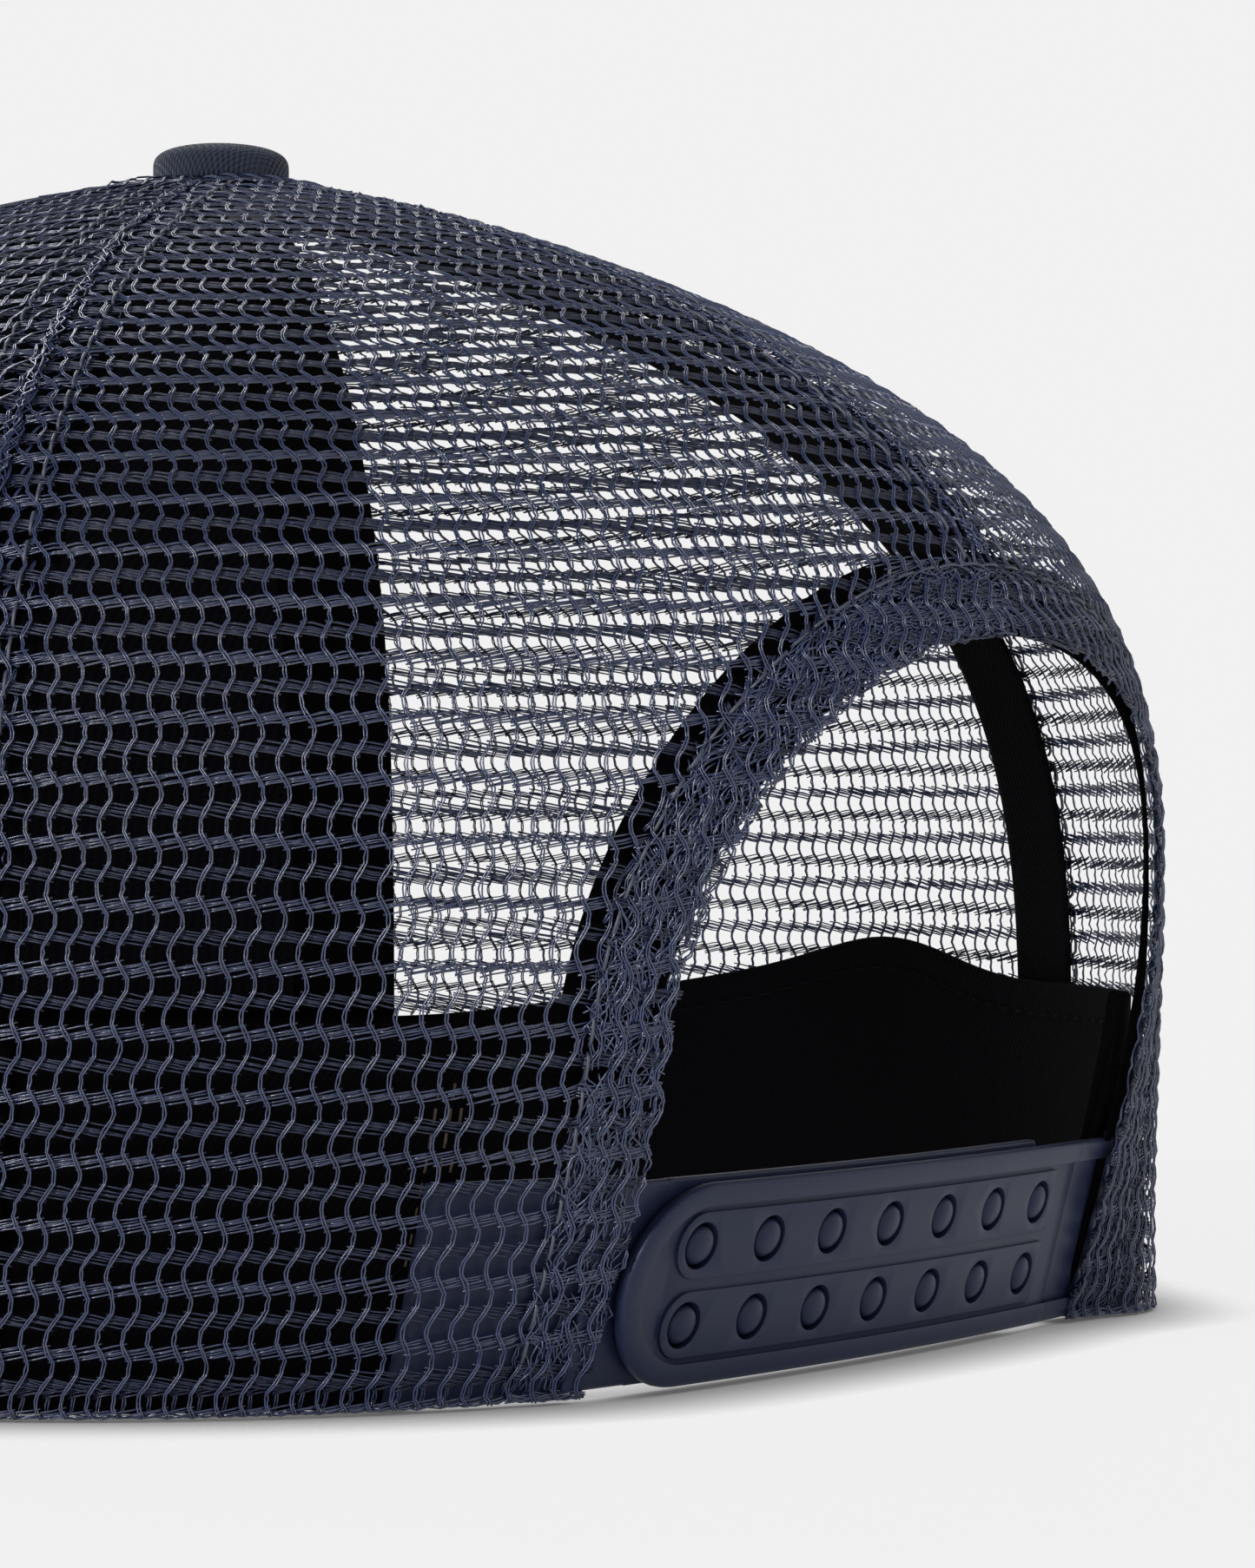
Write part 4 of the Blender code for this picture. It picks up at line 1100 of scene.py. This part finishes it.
def rounded_strip(start, end, half_height, centre=0.0, steps=24):
    """An outline square at its start and round at its end, which lies toward +s."""
    points = [(start, centre - half_height)]
    for k in range(steps + 1):
        turn = -math.pi / 2 + math.pi * k / steps
        across = end - half_height + half_height * math.cos(turn)
        points.append((across, centre + half_height * math.sin(turn)))
    points.append((start, centre + half_height))
    return points


def disc(s, h, radius, steps=28):
    turns = [2 * math.pi * k / steps for k in range(steps)]
    return [(s + radius * math.cos(turn), h + radius * math.sin(turn)) for turn in turns]


def peg_places():
    for row in (-PEG_ROW, PEG_ROW):
        for k in range(PEG_COUNT):
            yield PATTERN_CENTRE + (k - (PEG_COUNT - 1) / 2) * PEG_PITCH, row


def evaluated(obj):
    """Gives the object its evaluated mesh and drops its modifiers."""
    bpy.context.view_layer.update()
    mesh = bpy.data.meshes.new_from_object(obj.evaluated_get(bpy.context.evaluated_depsgraph_get()))
    obj.modifiers.clear()
    obj.data = mesh


def bevelled(obj, width, segments, limit):
    modifier = obj.modifiers.new("round", "BEVEL")
    modifier.width = width * MM
    modifier.segments = segments
    modifier.limit_method = "ANGLE"
    modifier.angle_limit = math.radians(limit)
    evaluated(obj)


def combine(obj, tools, operation):
    """Joins or cuts with each tool in turn, then removes the tools."""
    for tool in tools:
        modifier = obj.modifiers.new(operation.lower(), "BOOLEAN")
        modifier.operation = operation
        modifier.solver = "EXACT"
        modifier.object = tool
    evaluated(obj)
    for tool in tools:
        bpy.data.objects.remove(tool)


def cut_across(obj, places):
    """Gives a flat strap an edge right round at each of these places along it."""
    shape = bmesh.new()
    shape.from_mesh(obj.data)
    for place in places:
        everything = list(shape.verts) + list(shape.edges) + list(shape.faces)
        spot = (place * MM, 0, 0)
        bmesh.ops.bisect_plane(shape, geom=everything, dist=1e-8, plane_co=spot, plane_no=(1, 0, 0))
    shape.to_mesh(obj.data)
    shape.free()


def bend_to_cap(obj, material):
    """Cuts the flat strap into short facets and bends it along the closure."""
    reach = [vertex.co.x / MM for vertex in obj.data.vertices]
    cut_across(obj, np.arange(min(reach) + FACET, max(reach) - FACET / 4, FACET))
    for vertex in obj.data.vertices:
        vertex.co = to_world(on_closure(np.array(vertex.co) / MM))
    obj.data.polygons.foreach_set("use_smooth", np.ones(len(obj.data.polygons), bool))
    obj.data.set_sharp_from_angle(angle=math.radians(38))
    obj.data.materials.clear()
    obj.data.materials.append(material)


def peg(s, h):
    """A post with a domed head."""
    reach = PEG_HEAD_REACH - PEG_PLATE[1]
    points, faces = [], []
    for level, share in PEG_PROFILE:
        ring = disc(s, h, PEG_RADIUS * share, PEG_STEPS)
        points += [(a, PEG_PLATE[1] + reach * level, b) for a, b in ring]
    top = len(points) - PEG_STEPS
    for low in range(0, top, PEG_STEPS):
        high = low + PEG_STEPS
        for k in range(PEG_STEPS):
            after = (k + 1) % PEG_STEPS
            faces.append((low + k, low + after, high + after, high + k))
    faces.append(tuple(range(PEG_STEPS))[::-1])
    faces.append(tuple(range(top, top + PEG_STEPS)))
    return flat_object("peg_tool", points, faces)


def hole_strap():
    root = -(HINGE_S - BEND_HALF_WIDTH)
    low, high = HOLE_PLATE
    obj = slab("hole_strap_moulding", rounded_strip(root, HOLE_STRAP_TIP, STRAP_HALF_HEIGHT), low, high)
    bevelled(obj, width=0.55, segments=4, limit=60)
    floor = high - POCKET_DEPTH
    pocket = rounded_strip(root - 1.0, HOLE_STRAP_TIP - STRAP_RIM, STRAP_HALF_HEIGHT - STRAP_RIM)
    combine(obj, [slab("pocket_tool", pocket, floor, high + 1.0)], "DIFFERENCE")
    reach = (PEG_COUNT - 1) / 2 * PEG_PITCH
    start, end = PATTERN_CENTRE - reach - LANE_START, PATTERN_CENTRE + reach + LANE_HALF_HEIGHT
    lanes = []
    for row in (-PEG_ROW, PEG_ROW):
        outline = rounded_strip(start, end, LANE_HALF_HEIGHT, row)
        lanes.append(slab("lane_tool", outline, floor - LANE_ROOT, floor + LANE_RISE))
    combine(obj, lanes, "UNION")
    holes = [slab("hole_tool", disc(s, h, HOLE_RADIUS), low - 1.0, high + 1.0) for s, h in peg_places()]
    combine(obj, holes, "DIFFERENCE")
    bevelled(obj, width=0.13, segments=2, limit=50)
    bend_to_cap(obj, PLASTIC)
    belongs(obj, "hole_strap_body", "navy_plastic", "hole_strap")


def peg_strap():
    root = HINGE_S - BEND_HALF_WIDTH
    low, high = PEG_STRAP_FOOT - STRAP_HALF_HEIGHT, STRAP_HALF_HEIGHT + PEG_STRAP_TOP
    outline = [(PEG_STRAP_TIP, low + 0.8), (PEG_STRAP_TIP, high - 2.5), (PEG_STRAP_TIP + 2.4, high)]
    outline += [(root, high), (root, low), (PEG_STRAP_TIP + 1.6, low)]
    obj = slab("peg_strap_moulding", outline, *PEG_PLATE)
    bevelled(obj, width=0.3, segments=3, limit=60)
    combine(obj, [peg(s - PEG_SHIFT, h) for s, h in peg_places()], "UNION")
    bend_to_cap(obj, PLASTIC)
    belongs(obj, "peg_strap_body", "navy_plastic", "peg_strap")


def bend_web(name, side, plate, low, high, body, pocket):
    """The part of the strap that bends, which has the strap's own section and laps into its end."""
    lapped = side * (HINGE_S - BEND_HALF_WIDTH - WEB_LAP)
    tucked = side * (HINGE_S + BEND_HALF_WIDTH + WEB_TUCK)
    low, high = low + WEB_SHRINK, high - WEB_SHRINK
    outline = [(lapped, low), (tucked, low), (tucked, high), (lapped, high)]
    obj = slab(name + "_moulding", outline, plate[0] + WEB_SHRINK, plate[1] - WEB_SHRINK)
    bevelled(obj, width=0.5, segments=4, limit=60)
    if pocket:
        wall = STRAP_RIM - WEB_SHRINK
        outline = [(lapped - side, low + wall), (tucked + side, low + wall)]
        outline += [(tucked + side, high - wall), (lapped - side, high - wall)]
        floor = plate[1] - POCKET_DEPTH - WEB_SHRINK
        combine(obj, [slab("pocket_tool", outline, floor, plate[1] + 1.0)], "DIFFERENCE")
    cut_across(obj, lapped + (tucked - lapped) * np.linspace(0.1, 0.9, 9))
    bend_to_cap(obj, PLASTIC)
    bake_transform(obj)
    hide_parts(name)


def sewn_tab(name, side, low, high):
    """The strap's end, flat against the inside of the rear panel."""
    heights = CLOSURE_Z + np.linspace(low, high, 25)[:, None]
    first = angle_at(TAB_EDGE, heights)
    angles = side * (first + (TAB_END - first) * np.linspace(0.0, 1.0, 21)[None, :])
    travels = np.broadcast_to(travel_at_height(heights), angles.shape)
    if side < 0:
        angles = angles[:, ::-1]
    grid = settled(crown_layer(angles, travels, np.full(angles.shape, TAB_DEPTH)), 0.0)
    obj = sheet(name + "_moulding", grid, TAB_THICKNESS, PLASTIC)
    belongs(obj, "cap", "navy_plastic", name)


# ---------------------------------------------------------------- stage

def sky_light():
    """The backdrop's light on the open floor, as the level of an even one that would give the same."""
    up = np.linspace(0.0, 1.0, 401)
    level = np.interp(up, (CEILING_START, 1.0), (BACKDROP, CEILING))
    return float(2.0 * np.mean(level * up))


def backdrop():
    """A pale, even surround that dims overhead."""
    world = bpy.data.worlds.new("backdrop")
    bpy.context.scene.world = world
    world.use_nodes = True
    tree = world.node_tree
    background = tree.nodes["Background"]
    background.inputs["Color"].default_value = (1.0, 1.0, 1.0, 1.0)
    heading = new_node(tree, "SeparateXYZ")
    tree.links.new(new_node(tree, "TexCoord").outputs["Generated"], heading.inputs["Vector"])
    ceiling = new_node(tree, "MapRange")
    levels = (("From Min", CEILING_START), ("From Max", 1.0), ("To Min", BACKDROP), ("To Max", CEILING))
    for socket, value in levels:
        ceiling.inputs[socket].default_value = value
    tree.links.new(heading.outputs["Z"], ceiling.inputs["Value"])
    tree.links.new(ceiling.outputs["Result"], background.inputs["Strength"])


def toward_camera():
    return np.array([math.sin(CAMERA_AZIMUTH), -math.cos(CAMERA_AZIMUTH), 0.0])


def suns():
    """Soft lights, mostly from the camera's left. Returns their light on the open floor."""
    toward = toward_camera()
    left = np.array([toward[1], -toward[0], 0.0])
    up = np.array([0.0, 0.0, 1.0])
    lit = 0.0
    for name, (leftward, forward, upward, strength, spread) in SUNS.items():
        direction = unit(leftward * left + forward * toward + upward * up)
        light = bpy.data.lights.new(name, "SUN")
        light.energy = strength
        light.angle = math.radians(spread)
        obj = bpy.data.objects.new(name, light)
        x = unit(np.cross(up, direction))
        y = np.cross(direction, x)
        obj.matrix_world = Matrix([[x[k], y[k], direction[k], 0.0] for k in range(3)] + [[0, 0, 0, 1]])
        bpy.context.scene.collection.objects.link(obj)
        lit += strength * direction[2] / math.pi
    return lit


def floor(lit):
    """A matte floor that glows just enough to match the backdrop, and less where the cap stands close: a
    painted contact shadow.
    """
    material = bpy.data.materials.new("floor")
    material.use_nodes = True
    tree = material.node_tree
    tree.nodes.remove(tree.nodes["Principled BSDF"])
    matte, glow, both = (new_node(tree, kind) for kind in ("BsdfDiffuse", "Emission", "AddShader"))
    matte.inputs["Color"].default_value = (FLOOR_ALBEDO, FLOOR_ALBEDO, FLOOR_ALBEDO, 1.0)
    # Painted contact shadow: the glow is dimmed by ambient occlusion within CONTACT_REACH of the cap.
    contact = new_node(tree, "AmbientOcclusion", samples=CONTACT_SAMPLES)
    contact.inputs["Distance"].default_value = CONTACT_REACH
    level = BACKDROP - FLOOR_ALBEDO * lit
    shade = maths(tree, "POWER", contact.outputs["AO"], CONTACT_POWER)
    shade = maths(tree, "MULTIPLY", shade, CONTACT_SHADE * level)
    shade = maths(tree, "ADD", shade, (1.0 - CONTACT_SHADE) * level)
    tree.links.new(shade, glow.inputs["Strength"])
    tree.links.new(matte.outputs["BSDF"], both.inputs[0])
    tree.links.new(glow.outputs["Emission"], both.inputs[1])
    tree.links.new(both.outputs["Shader"], tree.nodes["Material Output"].inputs["Surface"])
    signs = ((-1, -1), (1, -1), (1, 1), (-1, 1))
    corners = [(x * FLOOR_REACH, y * FLOOR_REACH, -FLOOR_DROP) for x, y in signs]
    mesh = bpy.data.meshes.new("floor")
    mesh.from_pydata(corners, [], [(0, 1, 2, 3)])
    mesh.materials.append(material)
    obj = bpy.data.objects.new("floor", mesh)
    bpy.context.scene.collection.objects.link(obj)


def camera():
    data = bpy.data.cameras.new("camera")
    data.sensor_width = SENSOR
    data.lens = LENS
    obj = bpy.data.objects.new("camera", data)
    obj.location = to_world(toward_camera() * CAMERA_DISTANCE + (0.0, 0.0, CAMERA_HEIGHT))
    obj.rotation_euler = (math.pi / 2 - CAMERA_PITCH, 0.0, CAMERA_AZIMUTH - CAMERA_TURN)
    bpy.context.scene.collection.objects.link(obj)
    bpy.context.scene.camera = obj


# ---------------------------------------------------------------- assembly

def crown_pieces():
    for side, word, side_seam in ((1, "left", SIDE_SEAM_LEFT), (-1, "right", SIDE_SEAM_RIGHT)):
        net_panel("side_mesh_" + word, *sorted((side * side_seam, side * FRONT_SEAM)), False)
        net_panel("rear_mesh_" + word, *sorted((0.0, side * side_seam)), True)
        seams = sorted((side * FRONT_SEAM, side * CENTRE_FRONT))
        front = front_panel("front_panel_" + word + "_cloth", *seams)
        belongs(front, "cap", "navy_twill", "front_panel_" + word)
        for seam, place in ((side_seam, "side"), (FRONT_SEAM, "front")):
            name = "tape_" + place + "_" + word
            tape = seam_tape(name + "_cloth", side * seam, TAPE_DEPTH, travel_at_height(1.0))
            belongs(tape, "cap", "black_tape", name)
    low = travel_at_height(ARCH_TOP + BINDING_INSET + BINDING_WIDTH + BINDING_TO_TAPE)
    tape = seam_tape("tape_centre_rear_cloth", 0.0, TAPE_DEPTH, low)
    belongs(tape, "cap", "black_tape", "tape_centre_rear")
    low = travel_at_height(VISOR_ARCH + 1.0)
    tape = seam_tape("tape_centre_front_cloth", CENTRE_FRONT, FRONT_TAPE_DEPTH, low)
    belongs(tape, "cap", "black_tape", "tape_centre_front")
    belongs(stiffener(), "cap", "stiffener_cloth", "front_stiffener")
    belongs(sweatband(), "cap", "black_twill", "sweatband")
    belongs(arch_binding(), "cap", "black_tape", "arch_binding")


def closure():
    hole_strap()
    peg_strap()
    holes = (-STRAP_HALF_HEIGHT, STRAP_HALF_HEIGHT)
    pegs = (PEG_STRAP_FOOT - STRAP_HALF_HEIGHT, STRAP_HALF_HEIGHT + PEG_STRAP_TOP)
    bend_web("hole_strap_bend", -1, HOLE_PLATE, *holes, "hole_strap_body", True)
    bend_web("peg_strap_bend", 1, PEG_PLATE, *pegs, "peg_strap_body", False)
    sewn_tab("hole_strap_tab", -1, *holes)
    sewn_tab("peg_strap_tab", 1, *pegs)


bpy.context.scene.view_settings.view_transform = "Standard"
camera()
backdrop()
floor(sky_light() + suns())
crown_pieces()
seam_ridges()
hem_loops()
seam_stitches()
band_stitches()
visor()
button_cover()
closure()
for node, finish in (("button_shell", METAL), ("button_washer", METAL), ("visor_board", BOARD)):
    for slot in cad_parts[node].material_slots:
        slot.material = finish
